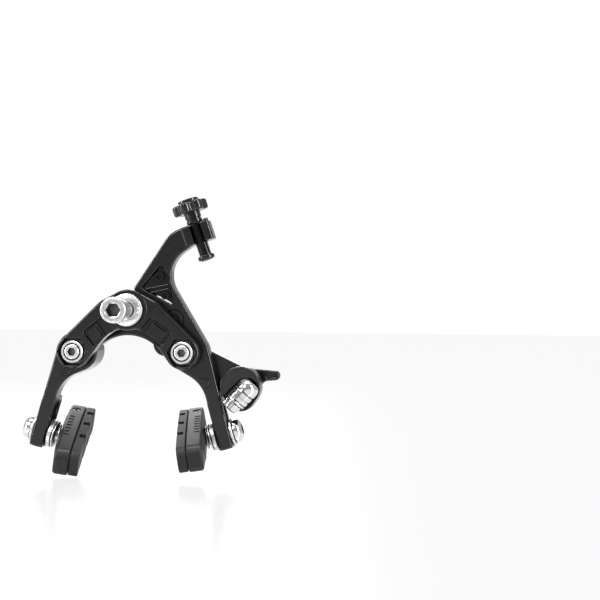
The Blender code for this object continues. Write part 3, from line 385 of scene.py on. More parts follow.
def bridge():
    """The forged plate with its raised boss, cast pockets and hexagonal nut wells."""
    shoulder = (6.0, -3.6)
    outline = [(0.0, 0.0, BOSS_R), (-shoulder[0], shoulder[1], SHOULDER_R),
               (*LEFT_PIVOT, BRIDGE_LOBE_R), (0.0, -20.6, -13.4), (*RIGHT_PIVOT, BRIDGE_LOBE_R),
               (*shoulder, SHOULDER_R)]
    plate = slab("bridge_forging", outline, 0.4, BRIDGE_T, PAINT, (1.1, 0.5))
    boss = [(0.0, 0.0, BOSS_R - 0.1), (0.001, 0.0, BOSS_R - 0.1)]
    join(plate, slab("boss", boss, 0.0, 3.0, None, (0.5, 0.0)))
    cut(plate, prism("bore", circle(BOLT_HOLE_R), -1.0, BRIDGE_T + 1.0),
        turned("boss_groove", [(6.7, -1.0), (7.2, -1.0), (7.05, 0.3), (6.85, 0.3)]))
    for side, pivot in ((-1, LEFT_PIVOT), (1, RIGHT_PIVOT)):
        corners = [(math.cos(a), math.sin(a)) for a in [math.tau * k / 6 for k in range(6)]]
        well = [(pivot[0] + 5.7 * c, pivot[1] + 5.7 * s, 0.36) for c, s in corners]
        cut(plate, prism(f"bore_{side}", circle(BOLT_HOLE_R, *pivot), -1.0, BRIDGE_T + 1.0),
            pocket(f"well_{side}", well, 0.4, 3.9, 0.35, 0.05, 0.0))
        length = math.hypot(PIVOT_HALF, PIVOT_DROP)
        run = (side * PIVOT_HALF / length, -PIVOT_DROP / length)
        rise = (-side * run[1], side * run[0])

        def spot(s, t, radius):
            return (run[0] * s + rise[0] * t, run[1] * s + rise[1] * t, radius)

        def quad(first, last, low, high, radius):
            ring = [spot(first, high, radius), spot(first, low, radius), spot(last, low, radius),
                    spot(last, high, radius)]
            return ring if side > 0 else ring[::-1]
        cut(plate, pocket(f"pocket_{side}", quad(10.1, 18.4, -2.7, 2.6, 1.2), 0.4, 1.5, 0.35, 0.3))
        if side > 0:
            join(plate, slab("panel", quad(11.9, 17.4, -1.6, 1.5, 0.9), 0.9, 2.2, None, (0.35, 0.0)))
        else:
            join(plate, slab("rib_a", [spot(13.4, 2.6, 0.34), spot(13.4, -2.9, 0.34)][::-1], 0.7, 2.2, None,
                             (0.2, 0.0)),
                 slab("rib_b", quad(14.9, 17.4, -1.5, 1.4, 0.8), 0.9, 2.2, None, (0.35, 0.0)))
    place(plate, "root", "bridge_plate")


def mounting():
    """Bolt, washers and the silver recessed nut."""
    head, nut_end = 8.3, -26.0
    bolt = turned("frame_bolt", [(0.0, -21.3), (2.5, -21.3), (3.0, -20.8), (3.0, head), (5.0, head)]
                  + [(5.0 - i, d) for i, d in edge_steps(0.7, head + 4.0, -1)[::-1]]
                  + [(0.0, head + 4.0)], SILVER)
    cut(bolt, prism("socket", hexagon(5.0), head + 1.5, head + 5.0))
    place(bolt, "root", "mounting_bolt")
    place(turned("head_washer", ring_profile(3.3, 5.0, 7.3, 8.0, 0.2), SILVER), "root", "bolt_head_washer")

    def knurl(step, radius, depth):
        ridge = 0.16 if step % 3 == 0 else 0.0
        return (0.0, -ridge) if depth < -2.0 and 3.9 < radius < 6.2 else (0.0, 0.0)
    teeth = [(3.3, -2.1), (3.6, -2.1)]
    for k in range(4):
        teeth += [(4.0 + 0.6 * k, -2.1), (4.1 + 0.6 * k, -2.14),
                  (4.4 + 0.6 * k, -2.14), (4.5 + 0.6 * k, -2.1)]
    rim = [(6.45 - i, d) for i, d in edge_steps(0.25, -2.1, 1)]
    profile = teeth + rim + [(6.45, -0.5), (6.25, -0.3), (3.3, -0.3)]
    place(turned("frame_washer", profile, SILVER, sides=180, wave=knurl), "root", "knurled_washer")
    flange = [(5.0 - i, d) for i, d in edge_steps(0.6, nut_end, 1)]
    groove = [(3.45, nut_end), (3.55, nut_end + 0.16), (3.75, nut_end + 0.16), (3.85, nut_end)]
    nut = turned("socket_nut", [(2.3, nut_end + 0.7), (3.0, nut_end + 0.5), (3.15, nut_end)] + groove + flange
                 + [(5.0, nut_end + 2.2), (3.8, nut_end + 2.2), (3.8, nut_end + 16.6), (3.4, nut_end + 17.0),
                    (3.3, nut_end + 17.0), (3.3, -21.6), (2.3, -21.6)], SILVER)
    cut(nut, prism("nut_socket", hexagon(5.0), nut_end - 1.0, -21.9))
    place(nut, "root", "recessed_nut")


def pivots():
    """Bolts, nuts, washers and bushes of the arm pivots."""
    for side, pivot, arm_end, body in (("left", LEFT_PIVOT, LAYER_2_END, "anchor_arm"),
                                       ("right", RIGHT_PIVOT, LAYER_1_END, "adjuster_arm")):
        head_end = arm_end - GAP
        head = head_end - 1.8
        rear = [(3.0 - i, d) for i, d in edge_steps(0.6, -0.7, 1)]
        front = [(5.4 - i, d) for i, d in edge_steps(0.5, head_end, -1)]
        bolt = turned(f"{side}_pivot_screw", [(0.0, -0.7)] + rear + [(3.0, head), (5.4, head)] + front[::-1]
                      + [(0.0, head_end)], SILVER)
        cut(bolt, prism("rear_socket", hexagon(3.0), -2.0, 1.6),
            prism("front_socket", hexagon(3.0), head + 0.5, head_end + 1.0))
        place(transformed(at(pivot), bolt), "root", f"{side}_pivot_bolt")
        nut = prism(f"{side}_lock_nut", hexagon(9.2), -0.2, 3.8, SILVER)
        cone = turned("cone", [(0.0, -0.2), (4.1, -0.2), (4.35, 0.05), (4.4, 2.8), (5.6, 3.0), (5.6, 3.8),
                               (0.0, 3.8)])
        combine(nut, [cone], "INTERSECT")
        cut(nut, turned("nut_bore", [(0.0, -1.0), (4.0, -1.0), (3.3, 0.1), (3.3, 5.0), (0.0, 5.0)]))
        place(transformed(at(pivot), nut), "root", f"{side}_pivot_nut")
        thrust = turned(f"{side}_spacer", ring_profile(3.3, 4.5, 7.3, 7.7, 0.1), BRASS)
        place(transformed(at(pivot), thrust), "root", f"{side}_thrust_washer")
        bush = turned(f"{side}_bearing", ring_profile(3.3, 4.5, LAYER_1, head - GAP, 0.15), BRASS)
        place(transformed(at(pivot), bush), body, f"{side}_pivot_bush")


def spring():
    """Round wire torsion spring on the left pivot."""
    radius, wire, turns, pitch, leg = 5.6, 1.1, 2.25, 1.5, 1.9
    rear = BRIDGE_T - leg + GAP + 0.1
    base = LAYER_1 + wire / 2 + 0.1
    top = base + turns * pitch
    points = [(0.0, rear), (0.0, rear + 1.0), (0.0, base - 0.2)]
    points += [(math.tau * turns * k / 48, base + k / 48 * (top - base)) for k in range(1, 48)]
    points += [(math.tau * turns, depth) for depth in (top + 0.2, top + leg - 0.6, top + leg + 0.2)]
    curve = bpy.data.curves.new("coil", "CURVE")
    curve.dimensions = "3D"
    curve.bevel_depth = wire / 2 * MM
    curve.bevel_resolution = 4
    curve.use_fill_caps = True
    line = curve.splines.new("NURBS")
    line.points.add(len(points) - 1)
    line.order_u = 3
    line.use_endpoint_u = True
    line.resolution_u = 3
    for knot, (angle, depth) in zip(line.points, points):
        knot.co = (*along("Y", radius * math.cos(angle) + LEFT_PIVOT[0],
                          radius * math.sin(angle) + LEFT_PIVOT[1], depth), 1.0)
    tube = bpy.data.objects.new("coil_tube", curve)
    bpy.context.scene.collection.objects.link(tube)
    bpy.context.view_layer.update()
    mesh = bpy.data.meshes.new_from_object(tube.evaluated_get(bpy.context.evaluated_depsgraph_get()))
    bpy.data.objects.remove(tube)
    made = bpy.data.objects.new("torsion_spring", mesh)
    bpy.context.scene.collection.objects.link(made)
    mesh.materials.clear()
    mesh.materials.append(SPRING_WIRE)
    place(made, "root", "return_spring")


# ---------------------------------------------------------------- arms

def leg_outline(side, pivot, lobe):
    lean = (side * math.sin(LEG_LEAN), -math.cos(LEG_LEAN))
    out = (side * math.cos(LEG_LEAN), math.sin(LEG_LEAN))
    corner = 1.8
    half, foot = LEG_T / 2 - corner, FOOT - corner
    pad = (side * PAD_HALF + lean[0] * foot, -PAD_DROP + lean[1] * foot)
    outer = (pad[0] + out[0] * half, pad[1] + out[1] * half, corner)
    inner = (pad[0] - out[0] * half, pad[1] - out[1] * half, corner)
    fillet = (pivot[0] - side * 5.1, pivot[1] - 21.8, -14.0)
    return lobe + [outer, inner, fillet] if side < 0 else lobe[:1] + [fillet, inner, outer] + lobe[1:]


def leg_parts(side):
    """The deep block round the pad bolt's slot, and the cutter of the slot."""
    top, half = SLOT_TRAVEL + 3.3, LEG_DEPTH / 2
    outline = [(-half + 1.5, top, 1.5), (-half + 1.5, 1.5 - FOOT, 1.5), (half - 1.5, 1.5 - FOOT, 1.5),
               (half - 3.0, top, 3.0)]
    block = slab(f"block_{side}", outline, -LEG_T / 2, LEG_T / 2, None, (0.6, 0.6), axis="X")
    ends = [(0.0, SLOT_TRAVEL, 3.3), (0.0, 0.0, 3.3)]
    slot = loft(f"slot_{side}", [(belt(ends, inset), depth) for inset, depth in
                                 ((-0.5, -LEG_T), (-0.5, -LEG_T / 2 - 0.01), (0.0, -LEG_T / 2 + 0.5),
                                  (0.0, LEG_T / 2 - 0.5), (-0.5, LEG_T / 2 + 0.01), (-0.5, LEG_T))], axis="X")
    frame_of_leg = shift(side * PAD_HALF, LEG_MID, -PAD_DROP) @ turn(-side * LEG_LEAN, "Y")
    transformed(frame_of_leg, block, slot)
    return block, slot


def pivot_cutters(name, pivot, arm_end):
    head = arm_end - GAP - 1.8
    return (prism(f"{name}_bore", circle(4.8, *pivot), LAYER_1 - 1.0, arm_end + 1.0),
            prism(f"{name}_seat", circle(5.7, *pivot), head - GAP, arm_end + 1.0))


def anchor_arm():
    """Left arm: its leg, the bar that crosses behind the bridge and the cable anchor's eye."""
    arm = slab("left_arm_forging", leg_outline(-1, LEFT_PIVOT, [(*LEFT_PIVOT, 8.2)]), LAYER_1, LAYER_2_END,
               PAINT, (0.9, 0.8))
    cut(arm, prism("trim", [(-PAD_HALF - 15, -PAD_DROP - 15), (-PAD_HALF + 20, -PAD_DROP - 15),
                            (-PAD_HALF + 20, -PIVOT_DROP - 9.5), (-PAD_HALF - 15, -PIVOT_DROP - 9.5)],
                   LAYER_1_END, LAYER_2_END + 1.0))
    bar = slab("bar", [(*LEFT_PIVOT, 4.4), (-3.0, -PIVOT_DROP - 10.6, -17.0),
                       (21.0, -PIVOT_DROP - 4.2, 3.0),
                       (ANCHOR[0] - 11.1, ANCHOR[1] - 7.4, -6.0), (*ANCHOR, 7.0),
                       (2.0, 7.8 - PIVOT_DROP, 6.0)],
               LAYER_2, LAYER_2_END - 0.05, None, (0.8, 0.7))
    lug = slab("lug", [(*ROLLER, 3.9), (ROLLER[0] - 5.0, ROLLER[1] - 10.0, 5.0),
                       (ROLLER[0] + 3.0, ROLLER[1] - 10.5, 4.0)], LAYER_2 + 0.05, LAYER_2_END - 0.6, None,
               (0.4, 0.4))
    block, slot = leg_parts(-1)
    join(arm, bar, lug, block)
    for k, (u, v, w, h) in enumerate(((37.0, -24.6, 0.35, 2.4), (38.6, -24.9, 0.35, 2.2))):
        ends = [(u + h * 0.8, v - h, w), (u, v, w)]
        ridge = slab(f"ridge_{k}", ends, LAYER_2 - 0.35, LAYER_2 + 1.0, None, (0.2, 0.0))
        join(arm, ridge)
    cut(arm, slot, *pivot_cutters("left", LEFT_PIVOT, LAYER_2_END),
        prism("spring_pocket", circle(6.45, *LEFT_PIVOT), LAYER_1 - 1.0, 12.8),
        prism("spring_end", circle(0.85, LEFT_PIVOT[0], LEFT_PIVOT[1] + 5.6, 24), LAYER_1, 14.8),
        prism("roller_pin_bore", circle(1.65, *ROLLER, 36), LAYER_1, LAYER_2_END + 1.0),
        prism("cam_seat", circle(CAM_R + 0.6, *ANCHOR), LAYER_2 - 1.0, LAYER_2 + 1.2),
        prism("anchor_bore", circle(3.7, *ANCHOR), LAYER_2, LAYER_2_END + 1.0),
        prism("pin_bore", circle(PIN_BORE_R, *LEFT_PIN, 36), LAYER_1 - 1.0, LAYER_1 + 4.0))
    place(arm, "anchor_arm", "anchor_arm")


def roller_slot():
    """Outline of the slot that the roller runs in, as both arms close in step."""
    left, right = Vector(LEFT_PIVOT), Vector(RIGHT_PIVOT)
    path = []
    for step in range(13):
        spin = Matrix.Rotation(ARM_TRAVEL * step / 12, 2)
        path.append(right + spin @ (left + spin @ (Vector(ROLLER) - left) - right))
    half = ROLLER_R + GAP
    one, other = [], []
    for index, point in enumerate(path):
        run = (path[min(index + 1, 12)] - path[max(index - 1, 0)]).normalized()
        across = Vector((-run[1], run[0])) * half
        one.append(tuple(point + across))
        other.append(tuple(point - across))
    caps = []
    for tip, inner in ((path[-1], path[-2]), (path[0], path[1])):
        start = math.atan2(*(tip - inner).yx) - math.pi / 2
        caps.append([(tip[0] + half * math.cos(start + math.pi * k / 24),
                      tip[1] + half * math.sin(start + math.pi * k / 24)) for k in range(1, 24)])
    return other + caps[0] + one[::-1] + caps[1]


EYE_FRAME = shift(EYE[0], BARREL_Y, EYE[1]) @ turn(-BARREL_LEAN, "Y")


def adjuster_arm():
    """Right arm: its leg, the neck with its cast recess and the slotted eye of the cable adjuster."""
    clear = 6.6
    lobe = [(*RIGHT_PIVOT, 7.4), (RIGHT_PIVOT[0] + 2.1, RIGHT_PIVOT[1], 7.4)]
    outline = leg_outline(1, RIGHT_PIVOT, lobe) + [
        (EYE[0] + 1.0, EYE[1] - 16.8, -11.3), (EYE[0] + 1.2, EYE[1] - 0.3, 2.0),
        (EYE[0] - 3.7, EYE[1] - 8.5, 10.8), (2.0, clear + 2.0, 1.0), (0.0, 0.0, -clear)]
    arm = slab("right_arm_forging", outline, LAYER_1, LAYER_1_END, PAINT, (0.9, 0.8))
    block, slot = leg_parts(1)
    corner, half = 1.4, 4.0
    eye = slab("eye", [(4.4, 3.3, corner), (-5.0, 3.3, corner), (-5.0, -2.65, corner), (4.4, -2.65, corner)],
               -half, half, None, (0.6, 0.6), axis="Z")
    bore = prism("eye_bore", circle(2.9), -half - 6.0, half + 6.0, axis="Z")
    gap = prism("eye_slot", [(-2.3, -12.0), (2.3, -12.0), (2.3, 0.0), (-2.3, 0.0)],
                -half - 6.0, half + 6.0, axis="Z")
    lug = slab("eye_lug", [(4.6, -1.2, 1.05), (4.61, -1.2, 1.05)], 2.0, half + 0.9, None, (0.0, 0.45),
               axis="Z")
    transformed(EYE_FRAME, eye, bore, gap, lug)
    join(arm, block, eye, lug)
    cut(arm, slot, bore, gap, *pivot_cutters("right", RIGHT_PIVOT, LAYER_1_END),
        prism("roller_slot", roller_slot(), LAYER_1 + ROLLER_WEB, LAYER_1_END + 1.0),
        pocket("recess", [(4.9, 8.9, 0.7), (15.9, 3.4, 0.9), (14.0, 12.0, 1.4), (11.9, 16.0, 1.5)],
               LAYER_1, 2.2, 0.45, 0.35),
        prism("right_pin_bore", circle(PIN_BORE_R, *RIGHT_PIN, 36), LAYER_1 - 1.0, LAYER_1 + 4.0))
    for radius in (2.0, 3.9):
        groove = turned("cast_ring", [(radius - 0.55, -1.0), (radius + 0.55, -1.0), (radius + 0.15, 0.75),
                                      (radius - 0.15, 0.75)])
        cut(arm, transformed(shift(ROLLER[0], LAYER_1, ROLLER[1]), groove))
    rings = []
    for u, v, radius in ((11.2, 13.4, 2.0), (13.6, 5.9, 1.7)):
        ring = turned("ring", [(radius - 0.9, 0.6), (radius - 0.7, 0.35), (radius - 0.2, 0.35), (radius, 0.6),
                               (radius, 2.4), (radius - 0.9, 2.4)])
        rings.append(transformed(shift(u, LAYER_1, v), ring))
    ribs = [slab(f"arm_rib_{k}", [(a, b, 0.36), (c, d, 0.36)], LAYER_1 + 0.35, LAYER_1 + 2.4, None,
                 (0.25, 0.0))
            for k, (a, b, c, d) in enumerate(((6.3, 8.4, 14.4, 10.1), (7.9, 6.9, 14.8, 8.5)))]
    join(arm, *rings, *ribs)
    place(arm, "adjuster_arm", "adjuster_arm")


def arm_pieces():
    """Pins, roller and bush that ride on the arms."""
    pin = turned("roller_axle", [(0.0, 9.8), (1.3, 9.8), (1.5, 10.0), (1.5, 21.7), (1.3, 21.9),
                                 (0.0, 21.9)], SILVER)
    place(transformed(at(ROLLER), pin), "anchor_arm", "roller_pin")
    roller = turned("link_roller", ring_profile(1.8, ROLLER_R, 9.8, 15.3, 0.35), SILVER)
    place(transformed(at(ROLLER), roller), "roller", "sync_roller")
    for name, spot, body in (("left", LEFT_PIN, "anchor_arm"), ("right", RIGHT_PIN, "adjuster_arm")):
        rim = [(PIN_R - i, d) for i, d in edge_steps(0.35, LAYER_1 - 0.1, 1)]
        dimple = [(0.0, LAYER_1 + 0.1), (1.2, LAYER_1 + 0.1), (1.35, LAYER_1 - 0.1)]
        stop = turned(f"{name}_stop", dimple + rim
                      + [(PIN_R, 11.7), (0.0, 11.7)], PAINT)
        place(transformed(at(spot), stop), body, f"{name}_stop_pin")
    bush = turned("anchor_bearing", ring_profile(2.8, 3.4, LAYER_2 + 1.4, LAYER_2_END - 0.2, 0.1), BRASS)
    place(transformed(at(ANCHOR), bush), "anchor_arm", "anchor_bush")


# ---------------------------------------------------------------- cable adjuster

def cable_adjuster():
    """Threaded barrel, stop ring and lobed knob."""
    knob_start, knob_end = 8.7, 12.9
    profile = [(1.1, -11.3), (2.35, -11.3), (BARREL_R, -11.0)]
    depth = -9.1
    while depth < 7.6:
        profile += [(BARREL_R, depth), (BARREL_R, depth + 0.2), (2.28, depth + 0.4), (2.28, depth + 0.5)]
        depth += 0.7
    cap = [(4.25 - i, d) for i, d in edge_steps(0.3, 14.2, -1)]
    profile += [(BARREL_R, depth), (BARREL_R, 9.3), (3.9, 9.3), (3.9, 13.2), (4.25, 13.2)] + cap[::-1]
    profile += [(3.0, 14.2), (2.6, 13.9), (2.6, 10.2), (1.1, 10.2)]
    barrel = turned("threaded_barrel", profile, ANODISED, "Z")
    transformed(EYE_FRAME, barrel)
    place(barrel, "barrel", "adjuster_barrel")
    ring = turned("stop_ring", ring_profile(2.7, 3.35, -11.0, -9.3, 0.3), ANODISED, "Z")
    transformed(EYE_FRAME, ring)
    place(ring, "barrel", "barrel_stop_ring")

    def lobes(inset):
        points = []
        for step in range(144):
            angle = math.tau * step / 144
            dip = (0.5 - 0.5 * math.cos(6 * angle)) ** 1.6
            radius = 7.1 - inset - 1.5 * dip
            points.append((radius * math.cos(angle + 0.25), radius * math.sin(angle + 0.25)))
        return points
    rounds = edge_steps(0.9, knob_start, 1)
    rounds += edge_steps(0.9, knob_end, -1)[::-1]
    knob = loft("lobed_knob", [(lobes(inset), depth) for inset, depth in rounds], ANODISED, "Z")
    neck = turned("neck", [(0.0, 4.3), (3.05, 4.3), (3.3, 4.55), (3.3, 5.6), (3.0, 5.8), (3.0, 6.3),
                           (3.3, 6.5), (3.3, 9.7), (0.0, 9.7)], axis="Z")
    join(knob, neck)
    cut(knob, prism("knob_bore", circle(2.9), 0.0, 13.9, axis="Z"),
        prism("knob_cup", circle(4.2), 9.0, 13.9, axis="Z"))
    transformed(EYE_FRAME, knob)
    place(knob, "knob", "adjuster_knob")


# ---------------------------------------------------------------- quick release and clamp

def quick_release():
    """Cam with its window, axle, washer and lever."""
    cam_end = CAM_Y + CAM_T
    cam = slab("release_disc", [(0.0, 0.0, CAM_R), (-0.4, -3.3, CAM_R - 1.5)], CAM_Y, cam_end, CAM_PAINT,
               (0.55, 0.4))
    run = (math.cos(CLAMP_LEAN), math.sin(CLAMP_LEAN))
    low = (CLAMP_OFFSET[0] - 9.0 * run[0], CLAMP_OFFSET[1] - 9.0 * run[1], CLAMP_R + 0.9)
    high = (CLAMP_OFFSET[0] + 2.8 * run[0], CLAMP_OFFSET[1] + 2.8 * run[1], CLAMP_R + 0.45)
    floor = CAM_Y + 4.2
    cut(cam, pocket("window", [high, low], CAM_Y, 4.2, 0.3, 0.3, 0.0),
        prism("trunnion_hole", circle(2.2, *CLAMP_OFFSET), floor - 1.0, floor + 1.8),
        prism("cam_axle_bore", circle(2.65), cam_end - 2.0, cam_end + 1.0),
        turned("face_ring", [(7.05, CAM_Y - 1.0), (7.3, CAM_Y - 1.0), (7.2, CAM_Y + 0.12),
                             (7.12, CAM_Y + 0.12)]))
    place(transformed(at(ANCHOR), cam), "release", "release_cam")
    washer_start = LAYER_2_END + GAP
    washer = turned("lever_washer", ring_profile(2.8, 5.6, washer_start, washer_start + 0.6, 0.15), SILVER)
    place(transformed(at(ANCHOR), washer), "release", "release_washer")
    start = washer_start + 0.6 + GAP
    lever = slab("lever_blade", [(0.0, 0.0, 6.6), (9.8, -1.4, -3.2), (12.3, 4.0, 2.0), (5.0, 5.0, 1.6)],
                 start, start + 3.4, PAINT, (0.8, 0.8))
    cut(lever, prism("lever_bore", circle(2.65), start - 1.0, start + 4.4),
        pocket("thumb_recess", [(9.6, 3.2, 1.0), (11.9, 3.9, 0.9)], start, 0.6, 0.25, 0.25, 0.1))
    place(transformed(at(ANCHOR), lever), "release", "release_lever")
    head = start + 3.4 + GAP
    crown = [(4.2 - i, d) for i, d in edge_steps(1.1, head + 1.6, -1)]
    axle = turned("lever_bolt", [(0.0, cam_end - 1.7), (2.5, cam_end - 1.7), (2.5, head), (4.2, head)]
                  + crown[::-1] + [(0.0, head + 1.6)], SILVER)
    cut(axle, prism("axle_socket", hexagon(3.0), head, head + 3.0))
    place(transformed(at(ANCHOR), axle), "release", "release_axle")


def cable_clamp():
    """Chrome clamp that swivels in the cam: collar, domed bolt, washer and nut."""
    clamp_frame = shift(ANCHOR[0] + CLAMP_OFFSET[0], CLAMP_Y, ANCHOR[1] + CLAMP_OFFSET[1])
    clamp_frame = clamp_frame @ turn(-CLAMP_LEAN, "Y")
    turns = [math.pi / 2 * k / 14 for k in range(14)]
    dome = [(CLAMP_R * math.cos(a) ** 0.55, 3.4 + 3.6 * math.sin(a)) for a in turns]
    bolt = turned("domed_bolt", [(0.0, -7.0), (2.1, -7.0), (2.4, -6.7), (2.4, 2.2), (4.2, 2.2),
                                 (CLAMP_R, 2.4)] + dome + [(0.0, 7.0)], CHROME, "X")
    place(transformed(clamp_frame, bolt), "clamp", "clamp_bolt")
    collar = turned("clamp_ring", [(2.7, -2.3), (4.1, -2.3), (CLAMP_R, -2.0), (CLAMP_R, -0.75),
                                   (4.15, -0.55), (4.15, -0.2), (CLAMP_R, 0.0), (CLAMP_R, 1.6),
                                   (4.1, 1.9), (2.7, 1.9)], CHROME, "X")
    join(collar, prism("trunnion", circle(1.9), 3.4, CAM_Y + 5.7 - CLAMP_Y))
    place(transformed(clamp_frame, collar), "clamp", "clamp_collar")
    washer = turned("clamp_plate", ring_profile(2.7, 4.2, -3.5, -2.6, 0.25), CHROME, "X")
    place(transformed(clamp_frame, washer), "clamp", "clamp_washer")

    def flutes(step, radius, depth):
        return (-0.16 * (step % 6 < 2), 0.0) if radius > 3.3 else (0.0, 0.0)
    nut = turned("clamp_cap", [(2.7, -7.2), (2.9, -7.2), (3.5, -6.7), (3.5, -4.1), (3.2, -3.8), (2.7, -3.8)],
                 CHROME, "X", wave=flutes)
    place(transformed(clamp_frame, nut), "clamp", "clamp_nut")


# ---------------------------------------------------------------- pads

def pad_ring(inset, lift=0.0):
    """Pad seen from the rim: a bar with round corners, bent to the rim's curve."""
    corner = 3.9
    u, v = PAD_L / 2 - corner, PAD_H / 2 - corner
    flat = belt([(u, v, corner), (-u, v, corner), (-u, -v, corner), (u, -v, corner)], inset)
    filled = []
    for index, (a, b) in enumerate(flat):
        after = flat[(index + 1) % len(flat)]
        steps = 14 if abs(after[0] - a) > 20 else 1
        filled += [(a + (after[0] - a) * k / steps, b + (after[1] - b) * k / steps) for k in range(steps)]
    return [(a, b + lift - a * a / (2 * RIM_R)) for a, b in filled]


def pad_set(side):
    """Pad, holder, bolt and washers on one arm. Depths run inwards from the leg's middle."""
    name = "left" if side < 0 else "right"
    leg = shift(side * PAD_HALF, LEG_MID, -PAD_DROP) @ turn(-side * LEG_LEAN, "Y")
    cup_end, back, body, front = 5.7, 7.6, 8.3, 14.3
    toe = leg @ turn(PAD_PITCH, "X") @ shift(-side * cup_end)
    toe = toe @ turn(PAD_TOE[name], "Z") @ turn(PAD_UPRIGHT[name], "Y")
    lift = PAD_LIFT[name]

    def deep(value):
        return -side * value

    def inner(value):
        return -side * (value - cup_end)

    def washer(label, bore, radius, start, end, edge, frame_matrix, body_name, node, depth=deep):
        low, high = sorted((depth(start), depth(end)))
        piece = turned(label, ring_profile(bore, radius, low, high, edge), SILVER, "X")
        place(transformed(frame_matrix, piece), body_name, node)

    mount, pad = f"{name}_pad_mount", f"{name}_pad"
    head = 4.4
    crown = [(4.75 * math.cos(a) ** 0.6, deep(-head - 0.7 - 2.7 * math.sin(a)))
             for a in [math.pi / 2 * k / 12 for k in range(12)]]
    tip = back + 1.2
    bolt = turned(f"{name}_domed_bolt", [(0.0, deep(tip)), (2.7, deep(tip)), (3.0, deep(tip - 0.3)),
                                         (3.0, deep(-head)), (4.6, deep(-head)),
                                         (4.75, deep(-head - 0.2))] + crown
                  + [(0.0, deep(-head - 3.4))], CHROME, "X")
    cut(bolt, prism("pad_socket", hexagon(4.0), deep(-head - 1.2), deep(-head - 5.0), axis="X"))
    place(transformed(leg, bolt), mount, f"{name}_pad_bolt")
    washer(f"{name}_flat_washer", 3.3, 5.4, -3.0, -4.1, 0.2, leg, mount, f"{name}_outer_washer")
    washer(f"{name}_backing_washer", 3.3, 5.8, 3.0, 4.8, 0.4, leg, mount, f"{name}_inner_washer")
    washer(f"{name}_cup", 3.3, 5.5, 5.1, 5.7, 0.2, leg, mount, f"{name}_cup_washer")
    washer(f"{name}_ball", 4.0, 4.7, 6.7, 7.3, 0.2, toe, pad, f"{name}_ball_washer", inner)

    bands = edge_steps(1.2, body, 1) + [(0.0, front - 0.35), (0.35, front)]
    holder = loft(f"{name}_shoe", [(pad_ring(inset, lift), inner(depth)) for inset, depth in bands],
                  PLASTIC, "X")
    small, large = [(12.5, 0.0, 3.6), (-14.5, 0.0, 3.6)], [(17.0, 0.3, 4.4), (-19.0, 0.3, 4.4)]
    bulge = loft("bulge", [(belt(small, 0.4), inner(back)), (belt(small), inner(back + 0.25)),
                           (belt(large, 0.3), inner(body - 0.1)),
                           (belt(large, -0.2), inner(body + 0.5))], axis="X")
    join(holder, bulge)
    ribs = []
    for k in range(7):
        y = -9.0 + 3.0 * k
        for face in (-1, 1):
            w = face * (PAD_H / 2 - 0.25) + lift - y * y / (2 * RIM_R)
            low, high = sorted((inner(body + 0.9), inner(body + 3.2)))
            first, last = sorted((w, w + face * 0.45))
            rib = slab("side_rib", [(high - 0.35, y, 0.35), (low + 0.35, y, 0.35)], first, last, None,
                       (0.0, 0.15) if face > 0 else (0.15, 0.0), axis="Z")
            ribs.append(rib)
    join(holder, *ribs)
    seat = prism("seat", pad_ring(1.6, lift), *sorted((inner(front - 1.9), inner(front + 1.0))), axis="X")
    hole = prism("hole", circle(4.0), *sorted((inner(back - 1.0), inner(tip + 0.7))), axis="X")
    screw_x, screw_y = inner(body + 2.6), PAD_L / 2 - 8.0
    cut(holder, seat, hole,
        prism("screw_hole", circle(1.8, screw_x, screw_y, 36), lift, PAD_H, axis="Z"))
    place(transformed(toe, holder), pad, f"{name}_pad_holder")
    screw = turned(f"{name}_set_screw", [(0.0, 0.3), (1.5, 0.3), (1.5, 4.3), (1.3, 4.5), (0.0, 4.5)],
                   SILVER, "Z")
    socket = prism("screw_socket", hexagon(1.5), 3.4, 5.5, axis="Z")
    transformed(shift(screw_x, screw_y, lift), screw, socket)
    cut(screw, socket)
    place(transformed(toe, screw), pad, f"{name}_pad_screw")

    start, end = front + GAP, front + GAP + 3.7
    layers = [(1.9, front - 1.6), (1.9, start), (0.5, start), (0.2, start + 0.3), (0.2, end - 0.4),
              (0.32, end - 0.12), (0.6, end)]
    rubber = loft(f"{name}_block", [(pad_ring(inset, lift), inner(depth)) for inset, depth in layers],
                  RUBBER, "X")
    grooves = []
    for y in (15.5, 3.8, -8.5):
        low, high = sorted((inner(end - 2.6), inner(end + 1.0)))
        grooves.append(prism("groove", [(low, y - 1.4), (high, y - 1.5), (high, y + 1.5), (low, y + 1.4)],
                             -PAD_H, PAD_H, axis="Z"))
    cut(rubber, *grooves)
    place(transformed(toe, rubber), pad, f"{name}_pad_rubber")


# ---------------------------------------------------------------- studio

